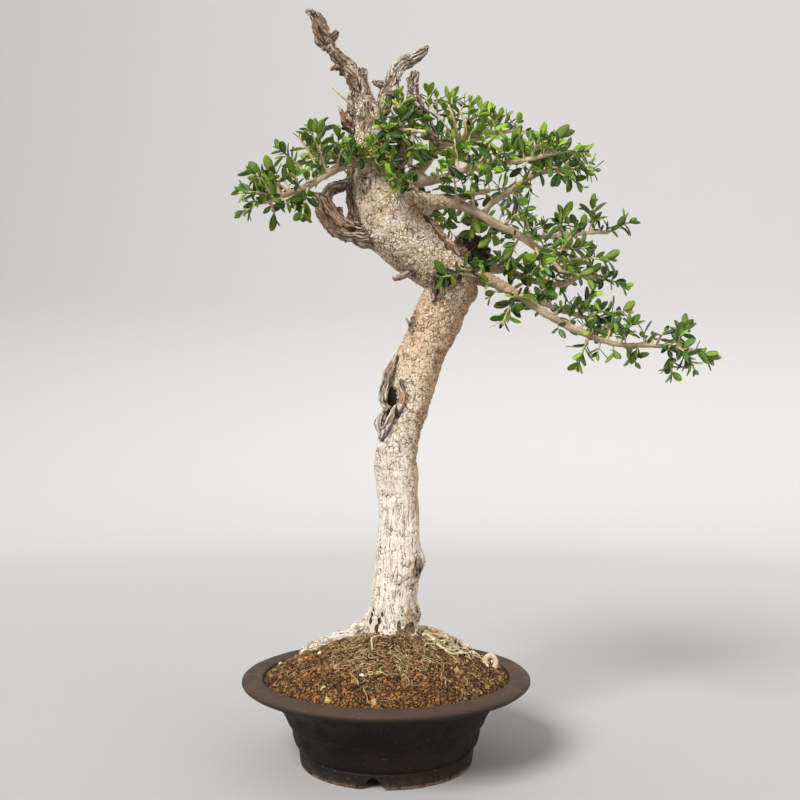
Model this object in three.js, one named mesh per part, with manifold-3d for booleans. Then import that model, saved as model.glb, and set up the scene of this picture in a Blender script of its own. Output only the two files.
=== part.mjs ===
// Olive bonsai in a round unglazed pot: pot, drain screen, soil, the tree's wood and its leafy sprays.
// Millimetres, +Z up. The skeleton is laid out from the pot's axis at table height, with +X to the
// right of the tree's front, +Y to its back.
import * as THREE from 'three';
import { mergeVertices } from 'three/addons/utils/BufferGeometryUtils.js';
import Module from 'manifold-3d';

const wasm = await Module();
wasm.setup();

const UP = new THREE.Vector3(0, 0, 1);
const GAP = 0.3;

// ---------------------------------------------------------------- driving dimensions: pot and soil
// Wall points run from the floor up to the lip, as [radius, height]: the foot, the belly and the flare.
const POT = {
  segments: 36,
  rimRadius: 158,
  height: 95,
  lipWidth: 23,
  lipEdge: 9,
  lipRound: 2,
  footOuter: 94,
  footInner: 80,
  recess: 6,
  floorTop: 13,
  drainRadius: 14,
  outerWall: [
    [95.5, 16], [97, 18], [102, 29], [104, 41], [107, 45], [117, 63], [128, 74], [141, 82], [154, 86],
  ],
  innerWall: [[84, 13], [92, 24], [98, 47], [112, 68], [131, 86]],
};
// Each notch in the foot ring is bracket-shaped: flared at the bottom, shouldered at the top. Its
// outline, from the right foot to the top, is [distance from its middle, height].
const NOTCH = {
  count: 3,
  firstAngle: -97.5,
  outline: [[14.5, -1], [11.5, 3.6], [10.5, 8.4], [6.5, 12]],
  overrun: 8,
};
const SCREEN = {
  radius: 20,
  thickness: 1.2,
  holeRadius: 3,
  ringRadius: 11.5,
  ringHoles: 5,
  pocketSides: 24,
};
const SOIL = { level: 91, rise: 40, shape: 1.2, rings: 4, rimGap: 1.2 };
const SOIL_LUMPS = [
  { x: 50, y: 26, spread: 28, rise: 10 },
  { x: -30, y: -40, spread: 30, rise: 3 },
  { x: 30, y: -70, spread: 22, rise: 3 },
  { x: 4, y: -12, spread: 30, rise: 5 },
];

// ------------------------------------------------- driving dimensions: wood, as [x, y, z, radius]
const TRUNK = {
  lower: [
    [6, 0, 82, 31], [7, 0, 124, 28], [7, 0, 146, 26], [8, 0, 173, 25], [12, 0, 206, 24],
    [13, 0, 240, 23], [14, 2, 276, 22], [12, 4, 306, 23], [11, 5, 334, 22.5], [15, 6, 362, 24],
    [22, 7, 388, 26], [29, 8, 416, 26.5], [38, 9, 446, 25], [51, 10, 475, 26], [64, 11, 501, 27],
    [73, 12, 521, 27.5], [78, 12, 540, 24],
  ],
  upper: [
    [90, 12, 510, 16], [75, 12, 532, 26], [56, 10, 550, 29], [37, 8, 565, 31.5], [20, 6, 580, 33],
    [6, 4, 595, 35], [-3, 2, 614, 35.5], [-10, 0, 636, 29.5], [-14, -2, 656, 23], [-18, -3, 678, 20],
    [-20, -3, 703, 18.5], [-26, -2, 729, 13.5], [-29, -2, 740, 10],
  ],
};
const DEADWOOD = {
  tallSnag: [
    [-24, -2, 715, 12.5], [-26, -2, 734, 12], [-33, -3, 757, 10.5], [-45, -5, 772, 9],
    [-55, -7, 782, 7], [-62, -8, 792, 6.5], [-68, -9, 801, 8], [-74, -10, 812, 8.5],
    [-79, -11, 825, 7.5], [-91, -13, 833, 2],
  ],
  forkedSnag: [
    [-8, 0, 716, 9], [-1, 0, 739, 8.5], [6, 2, 758, 7.5], [12, 4, 774, 7.5], [23, 6, 784, 7],
    [34, 8, 790, 5.5], [44, 10, 799, 3],
  ],
  shortSnag: [
    [60, 23, 686, 5], [55, 18, 697, 5], [46, 11, 716, 6], [33, 5, 733, 8.5], [30, 2, 750, 6.5],
    [32, 2, 769, 5],
  ],
  tallSnagKnob: [[-66, -9, 796, 6], [-59, -9, 803, 4]],
  tallSnagSpur: [[-30, -2, 752, 7], [-23, -6, 768, 4]],
  forkedSnagSpur: [[3, 1, 752, 6], [-10, -2, 754, 4], [-16, -4, 757, 2]],
  shortSnagSpur: [[31, 2, 750, 5], [23, 0, 762, 2]],
  brokenSpur: [[-23, -4, 698, 7], [-39, -8, 704, 7], [-47, -10, 712, 5.5], [-53, -12, 722, 2]],
  leftStub: [
    [-17, 0, 581, 15], [-32, -4, 583, 13], [-47, -6, 587, 12], [-61, -8, 598, 12.5],
    [-71, -8, 613, 10.5], [-79, -6, 623, 7.5],
  ],
  leftBridge: [[-73, -4, 614, 7], [-64, 2, 634, 7], [-53, 4, 640, 7], [-42, 4, 641, 7]],
  leftUpright: [
    [-33, -3, 592, 12], [-36, -2, 607, 9], [-38, 2, 634, 7], [-40, 4, 652, 5.5], [-42, 5, 665, 4],
  ],
  rottenStump: [[75, 22, 556, 16], [89, 30, 564, 17.5], [99, 34, 574, 16], [106, 36, 584, 10]],
  underSpur: [[38, 0, 544, 7], [24, -6, 537, 4.2], [8, -10, 530, 3.2]],
  thorn: [[33, 4, 479, 3.5], [26, 0, 481, 2.2], [22, -2, 488, 1]],
  outerFold: [
    [11, -6, 443, 2], [5, -7, 428, 3.5], [6, -8, 414, 4], [1, -9, 400, 4.5], [-1, -8, 382, 4.5],
    [-6, -6, 368, 5], [-4, -4, 354, 4],
  ],
  innerFold: [[12, -17, 412, 2.5], [17, -18, 400, 4], [11, -18, 386, 3.5], [-2, -12, 373, 3.5]],
  lowerFold: [[9, -17, 374, 2.5], [1, -16, 364, 3.5], [-8, -7, 348, 3]],
  deadFlap: [[43, -3, 602, 3], [58, -8, 583, 5], [70, -8, 568, 5.5], [80, -6, 556, 4]],
};
const LIMBS = {
  left: [
    [-14, -10, 653, 9], [-29, -22, 658, 6], [-44, -32, 653, 5], [-57, -40, 644, 4.6],
    [-69, -47, 635, 4.1], [-84, -53, 623, 3.6], [-100, -58, 615, 3.2], [-118, -62, 607, 2.7],
    [-131, -64, 602, 2.1],
  ],
  backLeft: [
    [-12, 10, 648, 11.5], [-22, 34, 671, 6.5], [-42, 56, 687, 5], [-65, 74, 695, 3.9],
    [-86, 86, 696, 2.7],
  ],
  crown: [
    [-3, 0, 622, 18], [8, -8, 642, 9], [15, -14, 661, 5.5], [16, -18, 679, 4], [16, -20, 695, 2.9],
  ],
  top: [
    [1, 0, 626, 18], [20, 8, 645, 10.5], [40, 16, 663, 7.5], [57, 22, 686, 6], [79, 30, 697, 4.4],
    [104, 38, 704, 3.8], [131, 46, 713, 3.3], [156, 52, 720, 2.4],
  ],
  high: [
    [8, -2, 632, 12], [28, -8, 641, 8.5], [55, -20, 639, 5.5], [81, -32, 645, 4.6], [107, -42, 648, 3.9],
    [134, -50, 650, 3.2], [160, -56, 653, 2.8], [181, -60, 657, 2.1],
  ],
  mid: [
    [6, -2, 605, 22.5], [28, -8, 616, 12.5], [48, -16, 617, 8], [68, -22, 615, 6], [84, -27, 608, 5.5],
    [103, -31, 598, 4.8], [124, -35, 584, 4.5], [143, -38, 574, 4], [160, -42, 561, 3.9],
    [173, -44, 550, 3.5], [183, -46, 541, 2.8], [188, -46, 532, 2.2],
  ],
  midUp: [
    [106, -31, 598, 3.7], [117, -16, 614, 3.3], [134, 0, 628, 3.3], [151, 14, 643, 3.4],
    [172, 26, 659, 3.7], [188, 34, 665, 3.3], [206, 40, 668, 2.6],
  ],
  midOut: [
    [141, -37, 575, 3.3], [156, -24, 574, 2.9], [174, -8, 578, 2.8], [194, 6, 582, 2.7],
    [216, 18, 587, 2.5], [240, 28, 591, 2.2], [258, 34, 592, 1.7],
  ],
  knee: [
    [79, 20, 548, 14], [101, 28, 552, 8], [125, 36, 550, 5], [142, 42, 549, 4.5], [163, 50, 541, 4.1],
    [182, 56, 538, 3.8], [201, 60, 536, 3.6], [216, 62, 538, 3.3], [232, 64, 547, 2.9],
    [250, 66, 545, 2.2], [260, 68, 543, 1.7],
  ],
  low: [
    [75, 16, 538, 13.5], [95, 14, 537, 9], [110, 6, 533, 7], [124, 0, 526, 5.5], [145, -8, 513, 4.9],
    [171, -16, 494, 4.2], [187, -22, 483, 4], [203, -28, 473, 4.2], [221, -32, 465, 3.7],
    [234, -35, 459, 3], [253, -38, 454, 2.7], [280, -40, 453, 2.6], [304, -42, 451, 2.2],
    [321, -43, 451, 1.6],
  ],
  lowUp: [
    [142, -7, 514, 3.8], [160, 6, 511, 3.4], [180, 20, 507, 3.2], [203, 32, 501, 3.2],
    [222, 42, 497, 3], [244, 50, 492, 2.4],
  ],
  back: [
    [15, 20, 610, 18.5], [33, 50, 621, 10.5], [54, 78, 635, 7.5], [79, 98, 647, 5.5],
    [105, 112, 659, 4], [129, 122, 666, 2.8],
  ],
};
const ROOTS = {
  left: [
    [-5, 4, 159, 16], [-21, 8, 142, 12.5], [-41, 10, 132, 10], [-63, 12, 124, 9], [-84, 12, 114, 8],
    [-100, 10, 103, 5.5], [-114, 8, 89, 3.5],
  ],
  right: [[17, 10, 140, 15], [38, 22, 125, 11], [61, 34, 119, 9.5], [84, 42, 110, 7.5], [105, 48, 94, 4.5]],
  front: [[4, -8, 142, 15], [-2, -24, 124, 10], [-13, -40, 112, 7], [-25, -56, 100, 4]],
  frontRight: [[17, -5, 144, 15], [28, -20, 126, 10], [41, -36, 112, 6.5], [53, -50, 101, 3.5]],
  back: [[6, 10, 147, 16], [-1, 34, 129, 10.5], [-13, 56, 118, 7], [-23, 74, 102, 3.5]],
};

// Burls stand out of the trunk and scars are sunk into it: centre, reach across and along, and rise.
const RELIEF = [
  { at: [38, -2, 217], across: 11, along: 11, rise: 7 },
  { at: [34, 0, 158], across: 11, along: 8, rise: 6.5 },
  { at: [-14, 6, 320], across: 12, along: 14, rise: 2.5 },
  { at: [7, -14, 396], across: 9, along: 16, rise: -9 },
  { at: [56, -12, 522], across: 8, along: 14, rise: -3 },
];

// Sides around each kind of limb, and the spacing of its rings.
const FACETS = {
  trunk: { sides: 14, step: 16 },
  deadwood: { sides: 6, step: 12 },
  limbs: { sides: 5, step: 19 },
  roots: { sides: 6, step: 20 },
  shoots: { sides: 3, step: 22 },
};

// ------------------------------------------------------------- driving dimensions: leafy shoots
const SHOOT = {
  baseRadius: 1.8,
  tipRadius: 1.2,
  arch: 0.07,
  bareLength: 9,
  bud: 2.5,
  pairSpacing: 9.5,
  pairs: 3,
  turnJitter: 0.6,
  clearingTurn: 0.4,
};
const LEAF = {
  length: [15, 20],
  widthRatio: 0.44,
  midribDepth: 1.1,
  stations: [0, 0.36, 0.78, 1],
  widthAt: [0.1, 1, 0.72, 0],
  lean: [34, 62],
  arch: 0.1,
  skyward: 0.15,
  tries: 5,
};

// Each spray: the limb it grows from, how far along that limb, and where its tip reaches.
const SPRAYS = [
  ['left', 0.32, [-52, -50, 679]],
  ['left', 0.50, [-76, -31, 694]],
  ['left', 0.59, [-111, -66, 658]],
  ['left', 0.62, [-87, -76, 587]],
  ['left', 0.76, [-144, -50, 639]],
  ['left', 0.87, [-145, -85, 608]],
  ['left', 0.99, [-153, -59, 594]],
  ['backLeft', 0.29, [-45, 69, 708]],
  ['backLeft', 0.75, [-96, 113, 702]],
  ['backLeft', 0.98, [-111, 91, 688]],
  ['crown', 0.97, [16, -25, 724]],
  ['crown', 0.68, [2, -45, 691]],
  ['top', 0.37, [47, 8, 749]],
  ['top', 0.46, [72, 47, 756]],
  ['top', 0.64, [115, 59, 749]],
  ['top', 0.99, [178, 57, 712]],
  ['high', 0.60, [125, -77, 653]],
  ['high', 0.83, [164, -70, 672]],
  ['high', 0.92, [191, -33, 684]],
  ['high', 0.99, [210, -65, 656]],
  ['mid', 0.12, [8, -68, 630]],
  ['mid', 0.55, [151, -59, 595]],
  ['mid', 0.73, [161, -84, 529]],
  ['mid', 0.82, [211, -57, 555]],
  ['mid', 0.91, [239, -54, 543]],
  ['midUp', 0.99, [240, 27, 664]],
  ['midOut', 0.52, [205, 30, 611]],
  ['midOut', 0.82, [241, 38, 625]],
  ['midOut', 0.99, [282, 28, 603]],
  ['knee', 0.70, [232, 96, 570]],
  ['knee', 0.99, [282, 60, 534]],
  ['low', 0.15, [62, -36, 528]],
  ['low', 0.31, [129, -18, 481]],
  ['low', 0.62, [210, -27, 434]],
  ['low', 0.77, [259, -64, 473]],
  ['low', 0.92, [307, -45, 422]],
  ['low', 0.96, [328, -24, 475]],
  ['low', 1.00, [348, -38, 439]],
  ['lowUp', 0.80, [234, 21, 514]],
  ['lowUp', 0.99, [280, 52, 503]],
  ['back', 0.60, [105, 142, 637]],
  ['back', 0.60, [63, 116, 680]],
  ['back', 0.80, [119, 128, 696]],
  ['back', 0.99, [165, 127, 665]],
];

const MATERIALS = {
  pot: { color: 0x3d342e, roughness: 0.75, metalness: 0 },
  drain_screen: { color: 0x22252a, roughness: 0.6, metalness: 0 },
  soil: { color: 0x6b4526, roughness: 1, metalness: 0 },
  wood: { color: 0xb8a384, roughness: 0.9, metalness: 0 },
  spray: { color: 0x3f6b2a, roughness: 0.5, metalness: 0 },
};

// ------------------------------------------------------------------------------- solids and meshes
function solid(geometry) {
  const bare = new THREE.BufferGeometry();
  bare.setAttribute('position', geometry.getAttribute('position'));
  if (geometry.index) bare.setIndex(geometry.index);
  const merged = mergeVertices(bare, 1e-4);
  const vertProperties = new Float32Array(merged.getAttribute('position').array);
  const triVerts = new Uint32Array(merged.index.array);
  return new wasm.Manifold(new wasm.Mesh({ numProp: 3, vertProperties, triVerts }));
}

function join(solids) {
  return solids.reduce((whole, piece) => whole.add(piece));
}

function largestBody(whole) {
  return whole.decompose().reduce((best, body) => (body.volume() > best.volume() ? body : best));
}

function mesh(name, body, material) {
  const { vertProperties, triVerts } = body.getMesh();
  const geometry = new THREE.BufferGeometry();
  geometry.setAttribute('position', new THREE.BufferAttribute(vertProperties, 3));
  geometry.setIndex(new THREE.BufferAttribute(triVerts, 1));
  const flat = geometry.toNonIndexed();
  flat.computeVertexNormals();
  const result = new THREE.Mesh(flat, new THREE.MeshStandardMaterial(material));
  result.name = name;
  return result;
}

function reshape(geometry, place) {
  const position = geometry.getAttribute('position');
  const point = new THREE.Vector3();
  for (let i = 0; i < position.count; i += 1) {
    point.fromBufferAttribute(position, i);
    place(point);
    position.setXYZ(i, point.x, point.y, point.z);
  }
  return geometry;
}

// A lathe about the Z axis: profile points are [radius, height].
function lathe(profile, segments) {
  const points = profile.map(([radius, height]) => new THREE.Vector2(radius, height));
  return new THREE.LatheGeometry(points, segments).rotateX(Math.PI / 2);
}

// ----------------------------------------------------------------------------------- round limbs
function limbCurve(points) {
  const knots = points.map(([x, y, z]) => new THREE.Vector3(x, y, z));
  return new THREE.CatmullRomCurve3(knots, false, 'catmullrom', 0.5);
}

function limbRadius(points, along) {
  const place = along * (points.length - 1);
  const knot = Math.min(Math.floor(place), points.length - 2);
  return THREE.MathUtils.lerp(points[knot][3], points[knot + 1][3], place - knot);
}

// The axis that the limb runs along least, which keeps its rings from twisting.
function steadyAxis(curve) {
  const run = curve.getPoint(1).sub(curve.getPoint(0));
  const axes = [new THREE.Vector3(1, 0, 0), new THREE.Vector3(0, 1, 0), UP];
  return axes.reduce((best, axis) => (Math.abs(run.dot(axis)) < Math.abs(run.dot(best)) ? axis : best));
}

function reliefAt(point) {
  return RELIEF.reduce((rise, bump) => {
    const [x, y, z] = bump.at;
    const across = ((point.x - x) ** 2 + (point.y - y) ** 2) / bump.across ** 2;
    const along = (point.z - z) ** 2 / bump.along ** 2;
    return rise + bump.rise * Math.exp(-across - along);
  }, 0);
}

// A cylinder whose rings follow the curve through the points, with the radius given at each of them.
function limb(points, { sides, step }, grow = 0, carved = false) {
  const curve = limbCurve(points);
  const steady = steadyAxis(curve);
  const rings = Math.max(2, Math.round(curve.getLength() / step));
  const geometry = new THREE.CylinderGeometry(1, 1, 1, sides, rings);
  reshape(geometry, (point) => {
    const along = THREE.MathUtils.clamp(point.y + 0.5, 0, 1);
    const tangent = curve.getTangent(along);
    const side = steady.clone().addScaledVector(tangent, -steady.dot(tangent)).normalize();
    const other = side.clone().cross(tangent);
    const outward = side.multiplyScalar(point.x).addScaledVector(other, point.z);
    const radius = limbRadius(points, along) + grow;
    point.copy(curve.getPoint(along)).addScaledVector(outward, radius);
    if (carved) point.addScaledVector(outward, reliefAt(point));
  });
  return solid(geometry);
}

function buildWood(grow = 0) {
  const round = (group, facets, carved) =>
    Object.values(group).map((points) => limb(points, facets, grow, carved));
  return join([
    ...round(TRUNK, FACETS.trunk, true),
    ...round(DEADWOOD, FACETS.deadwood, false),
    ...round(LIMBS, FACETS.limbs, false),
    ...round(ROOTS, FACETS.roots, false),
  ]);
}

// ------------------------------------------------------------------------------------ pot and soil
function notch(index) {
  const right = NOTCH.outline.map(([across, height]) => new THREE.Vector2(across, height));
  const left = right.map(({ x, y }) => new THREE.Vector2(-x, y));
  const shape = new THREE.Shape([...right, ...left.reverse()]);
  const depth = POT.footOuter - POT.footInner + 2 * NOTCH.overrun;
  const geometry = new THREE.ExtrudeGeometry(shape, { depth, bevelEnabled: false });
  geometry.rotateX(Math.PI / 2).translate(0, POT.footOuter + NOTCH.overrun, 0);
  const angle = NOTCH.firstAngle - 90 + (index * 360) / NOTCH.count;
  return solid(geometry.rotateZ(THREE.MathUtils.degToRad(angle)));
}

function buildPot() {
  const { rimRadius, height, lipWidth, lipEdge, lipRound } = POT;
  const profile = [
    [POT.drainRadius, POT.recess],
    [POT.footInner, POT.recess],
    [POT.footInner, 0],
    [POT.footOuter, 0],
    ...POT.outerWall,
    [rimRadius, height - lipEdge + lipRound],
    [rimRadius, height - lipRound],
    [rimRadius - lipRound, height],
    [rimRadius - lipWidth, height - lipRound],
    ...[...POT.innerWall].reverse(),
    [POT.drainRadius, POT.floorTop],
    [POT.drainRadius, POT.recess],
  ];
  const body = solid(lathe(profile, POT.segments));
  const notches = Array.from({ length: NOTCH.count }, (_, index) => notch(index));
  return body.subtract(join(notches));
}

function buildScreen() {
  const { radius, thickness, holeRadius, ringRadius, ringHoles } = SCREEN;
  const outline = new THREE.Shape().absarc(0, 0, radius, 0, Math.PI * 2);
  const ring = Array.from({ length: ringHoles }, (_, hole) => (hole * 2 * Math.PI) / ringHoles);
  const around = ring.map((angle) => [ringRadius * Math.cos(angle), ringRadius * Math.sin(angle)]);
  const holeAt = ([x, y]) => new THREE.Path().absarc(x, y, holeRadius, 0, Math.PI * 2);
  outline.holes = [[0, 0], ...around].map(holeAt);
  const settings = { depth: thickness, bevelEnabled: false, curveSegments: 3 };
  const plate = new THREE.ExtrudeGeometry(outline, settings);
  return solid(plate.translate(0, 0, POT.floorTop + GAP));
}

function soilHeight(x, y, edge) {
  const fromAxis = Math.min(1, Math.hypot(x, y) / edge);
  const dome = SOIL.rise * (1 - fromAxis ** 2) ** SOIL.shape;
  const lumps = SOIL_LUMPS.reduce(
    (sum, lump) => sum + lump.rise * Math.exp(-((x - lump.x) ** 2 + (y - lump.y) ** 2) / lump.spread ** 2),
    0,
  );
  return SOIL.level + dome + lumps * (1 - fromAxis ** 4);
}

function buildSoil(wood) {
  const edge = POT.rimRadius - POT.lipWidth - SOIL.rimGap;
  const floor = POT.floorTop + GAP;
  const wall = POT.innerWall.map(([radius, height]) => [radius - GAP, Math.max(height, floor)]);
  const rings = Array.from({ length: SOIL.rings - 1 }, (_, ring) => edge * (1 - (ring + 1) / SOIL.rings));
  const profile = [
    [0, floor],
    ...wall,
    [edge, SOIL.level],
    ...rings.map((radius) => [radius, SOIL.level]),
    [0, SOIL.level],
  ];
  const geometry = reshape(lathe(profile, POT.segments), (point) => {
    if (point.z > SOIL.level - 0.01) point.z = soilHeight(point.x, point.y, edge);
  });
  const pocketRadius = SCREEN.radius + GAP;
  const pocketTop = floor + SCREEN.thickness + GAP;
  const pocket = new THREE.CylinderGeometry(pocketRadius, pocketRadius, pocketTop, SCREEN.pocketSides);
  pocket.rotateX(Math.PI / 2).translate(0, 0, pocketTop / 2);
  return largestBody(solid(geometry).subtract(wood).subtract(solid(pocket)));
}

// ------------------------------------------------------------------------------------ leafy sprays
// A small seeded generator, so that every build draws the same leaves.
function seededRandom(seed) {
  let state = seed;
  return () => {
    state = (state + 0x6d2b79f5) | 0;
    let mixed = Math.imul(state ^ (state >>> 15), 1 | state);
    mixed = (mixed + Math.imul(mixed ^ (mixed >>> 7), 61 | mixed)) ^ mixed;
    return ((mixed ^ (mixed >>> 14)) >>> 0) / 4294967296;
  };
}

function between([low, high], share) {
  return low + (high - low) * share;
}

function shootPoints([limbName, along, tip]) {
  const base = limbCurve(LIMBS[limbName]).getPoint(along);
  const end = new THREE.Vector3(...tip);
  const middle = base.clone().lerp(end, 0.5).addScaledVector(UP, SHOOT.arch * base.distanceTo(end));
  const middleRadius = (SHOOT.baseRadius + SHOOT.tipRadius) / 2;
  return [
    [...base.toArray(), SHOOT.baseRadius],
    [...middle.toArray(), middleRadius],
    [...end.toArray(), SHOOT.tipRadius],
  ];
}

// Opposite pairs, each turned a quarter from the last, counted back from the shoot's tip.
function pairPlaces(points, random) {
  const curve = limbCurve(points);
  const total = curve.getLength();
  const start = new THREE.Vector3(...points[0]);
  const turn = random() * Math.PI;
  const places = [];
  for (let pair = 0; pair < SHOOT.pairs; pair += 1) {
    const along = Math.max(0, 1 - (SHOOT.bud + pair * SHOOT.pairSpacing) / total);
    const azimuth = turn + (pair * Math.PI) / 2 + (random() - 0.5) * SHOOT.turnJitter;
    const place = { root: curve.getPoint(along), tangent: curve.getTangent(along), azimuth };
    place.blades = [0, 1].map(() => ({
      lean: THREE.MathUtils.degToRad(between(LEAF.lean, (pair + random()) / SHOOT.pairs)),
      length: between(LEAF.length, random()),
    }));
    if (place.root.distanceTo(start) > SHOOT.bareLength) places.push(place);
  }
  return places;
}

// A blade's own directions: along it, and out of its upper face, which turns to the tip and the sky.
function bladeFrame(tangent, outward, { lean, length }) {
  const direction = tangent.clone().multiplyScalar(Math.cos(lean)).addScaledVector(outward, Math.sin(lean));
  const skyward = tangent.clone().addScaledVector(UP, LEAF.skyward);
  const face = skyward.addScaledVector(direction, -skyward.dot(direction)).normalize();
  return { direction, face, across: face.clone().cross(direction), length };
}

// Two opposite blades in one strip of triangular section, flat above and keeled along the midrib,
// waisted and bent where it passes through the shoot.
function leafPair({ root, tangent, azimuth, blades }, extraTurn, margin) {
  const side = new THREE.Vector3().crossVectors(tangent, UP).normalize();
  const outward = side.applyAxisAngle(tangent, azimuth + extraTurn);
  const right = bladeFrame(tangent, outward, blades[0]);
  const left = bladeFrame(tangent, outward.clone().negate(), blades[1]);
  const waist = tangent.clone().cross(outward);
  const last = LEAF.stations.length - 1;
  const strip = new THREE.SphereGeometry(1, 3, 2 * last);
  return solid(reshape(strip, (point) => {
    const blade = point.y < 0 ? left : right;
    const station = Math.round((Math.asin(Math.abs(point.y)) * last * 2) / Math.PI);
    const ring = Math.max(Math.hypot(point.x, point.z), 1e-6);
    const share = LEAF.stations[station];
    const open = station < last ? 1 : 0;
    const width = open * (LEAF.widthAt[station] * LEAF.widthRatio * blade.length + 2 * margin);
    const depth = open * (LEAF.midribDepth + 2 * margin);
    const across = station === 0 ? waist : blade.across.clone().multiplyScalar(Math.sign(point.y));
    const face = station === 0 ? tangent : blade.face;
    const offset = (point.z / ring / Math.sqrt(3)) * width;
    const lift = ((point.x / ring - 0.5) / 1.5) * depth + margin - LEAF.arch * blade.length * share ** 2;
    point
      .copy(root)
      .addScaledVector(blade.direction, share * (blade.length + margin))
      .addScaledVector(across, offset)
      .addScaledVector(face, lift);
  }));
}

function boxesMeet(a, b) {
  const first = a.boundingBox();
  const second = b.boundingBox();
  const meet = (axis) => first.min[axis] < second.max[axis] && second.min[axis] < first.max[axis];
  return [0, 1, 2].every(meet);
}

function touches(piece, others) {
  return others.some((other) => boxesMeet(piece, other) && !piece.intersect(other).isEmpty());
}

// The first turn of a pair, in small steps either way, that leaves it clear of the other nodes.
function clearPair(place, obstacles) {
  for (let attempt = 0; attempt < LEAF.tries; attempt += 1) {
    const extraTurn = (attempt % 2 ? -1 : 1) * Math.ceil(attempt / 2) * SHOOT.clearingTurn;
    if (!touches(leafPair(place, extraTurn, GAP), obstacles)) return leafPair(place, extraTurn, 0);
  }
  return null;
}

function buildSprays(grownWood) {
  const shoots = SPRAYS.map((spray) => shootPoints(spray));
  const stems = shoots.map((points) => largestBody(limb(points, FACETS.shoots).subtract(grownWood)));
  const finished = [];
  shoots.forEach((points, index) => {
    const random = seededRandom(index + 1);
    const otherStems = stems.filter((_, other) => other > index);
    const pairs = pairPlaces(points, random)
      .map((place) => clearPair(place, [grownWood, ...otherStems, ...finished]))
      .filter((pair) => pair !== null);
    finished.push(largestBody(join([stems[index], ...pairs])));
  });
  return finished;
}

// ----------------------------------------------------------------------------------------- assembly
const wood = buildWood();
const grownWood = buildWood(GAP);

const bonsai = new THREE.Group();
bonsai.add(mesh('pot', buildPot(), MATERIALS.pot));
bonsai.add(mesh('drain_screen', buildScreen(), MATERIALS.drain_screen));
bonsai.add(mesh('soil', buildSoil(grownWood), MATERIALS.soil));
bonsai.add(mesh('wood', wood, MATERIALS.wood));
buildSprays(grownWood).forEach((spray, index) => {
  bonsai.add(mesh(`spray_${String(index + 1).padStart(2, '0')}`, spray, MATERIALS.spray));
});

// The origin goes to the middle of the whole tree's box, at the height it stands on.
const extent = new THREE.Box3().setFromObject(bonsai);
const middle = extent.getCenter(new THREE.Vector3());
bonsai.position.set(-middle.x, -middle.y, -extent.min.z);

export default bonsai;
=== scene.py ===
"""Looks of an olive bonsai in a round unglazed pot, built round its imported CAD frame.

Shapes are worked out in millimetres from the pot's axis at table height, as the frame's own
skeleton is, with +X to the right of the tree's front and +Y to its back. make_mesh turns them
into metres in the frame's axes.
"""

import itertools
import math
from types import SimpleNamespace

import bpy
import numpy as np
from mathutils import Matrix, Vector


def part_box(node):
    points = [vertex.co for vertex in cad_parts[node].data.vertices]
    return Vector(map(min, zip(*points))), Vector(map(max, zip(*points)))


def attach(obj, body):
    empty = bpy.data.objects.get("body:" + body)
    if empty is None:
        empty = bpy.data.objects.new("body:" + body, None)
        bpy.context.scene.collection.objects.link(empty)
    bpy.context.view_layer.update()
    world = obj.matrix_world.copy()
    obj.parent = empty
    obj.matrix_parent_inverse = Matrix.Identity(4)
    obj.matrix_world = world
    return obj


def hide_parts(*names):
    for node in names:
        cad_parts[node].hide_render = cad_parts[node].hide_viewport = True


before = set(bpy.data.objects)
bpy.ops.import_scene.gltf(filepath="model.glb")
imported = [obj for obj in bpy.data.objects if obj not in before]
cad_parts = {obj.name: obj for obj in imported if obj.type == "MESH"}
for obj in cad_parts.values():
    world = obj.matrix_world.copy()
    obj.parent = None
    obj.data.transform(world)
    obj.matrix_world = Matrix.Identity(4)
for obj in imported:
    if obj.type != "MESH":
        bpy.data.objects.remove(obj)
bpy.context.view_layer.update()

MM = 0.001
UP = np.array([0.0, 0.0, 1.0])
# Where each kind of piece starts its random draws. Each spray and each group of shoots adds its number.
SEEDS = SimpleNamespace(splinters=5, grit=11, rootlets=23, sprays=100, shoots=300)
POT_LOW, POT_HIGH = (np.array(corner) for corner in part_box("pot"))
POT_AXIS = np.array([(POT_LOW[0] + POT_HIGH[0]) / 2, (POT_LOW[1] + POT_HIGH[1]) / 2, POT_LOW[2]])

# ------------------------------------------------------------- the skeleton, as [x, y, z, radius]
TRUNK = {
    "lower": [
        [6, 0, 82, 31], [7, 0, 124, 28], [7, 0, 146, 26], [8, 0, 173, 25], [12, 0, 206, 24], [13, 0, 240, 23],
        [14, 2, 276, 22], [12, 4, 306, 23], [11, 5, 334, 22.5], [15, 6, 362, 24], [22, 7, 388, 26],
        [29, 8, 416, 26.5], [38, 9, 446, 25], [51, 10, 475, 26], [64, 11, 501, 27], [73, 12, 521, 27.5],
        [78, 12, 540, 24],
    ],
    "upper": [
        [90, 12, 510, 16], [75, 12, 532, 26], [56, 10, 550, 29], [37, 8, 565, 31.5], [20, 6, 580, 33],
        [6, 4, 595, 35], [-3, 2, 614, 35.5], [-10, 0, 636, 29.5], [-14, -2, 656, 23], [-18, -3, 678, 20],
        [-20, -3, 703, 18.5], [-26, -2, 729, 13.5], [-29, -2, 740, 10],
    ],
}
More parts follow.
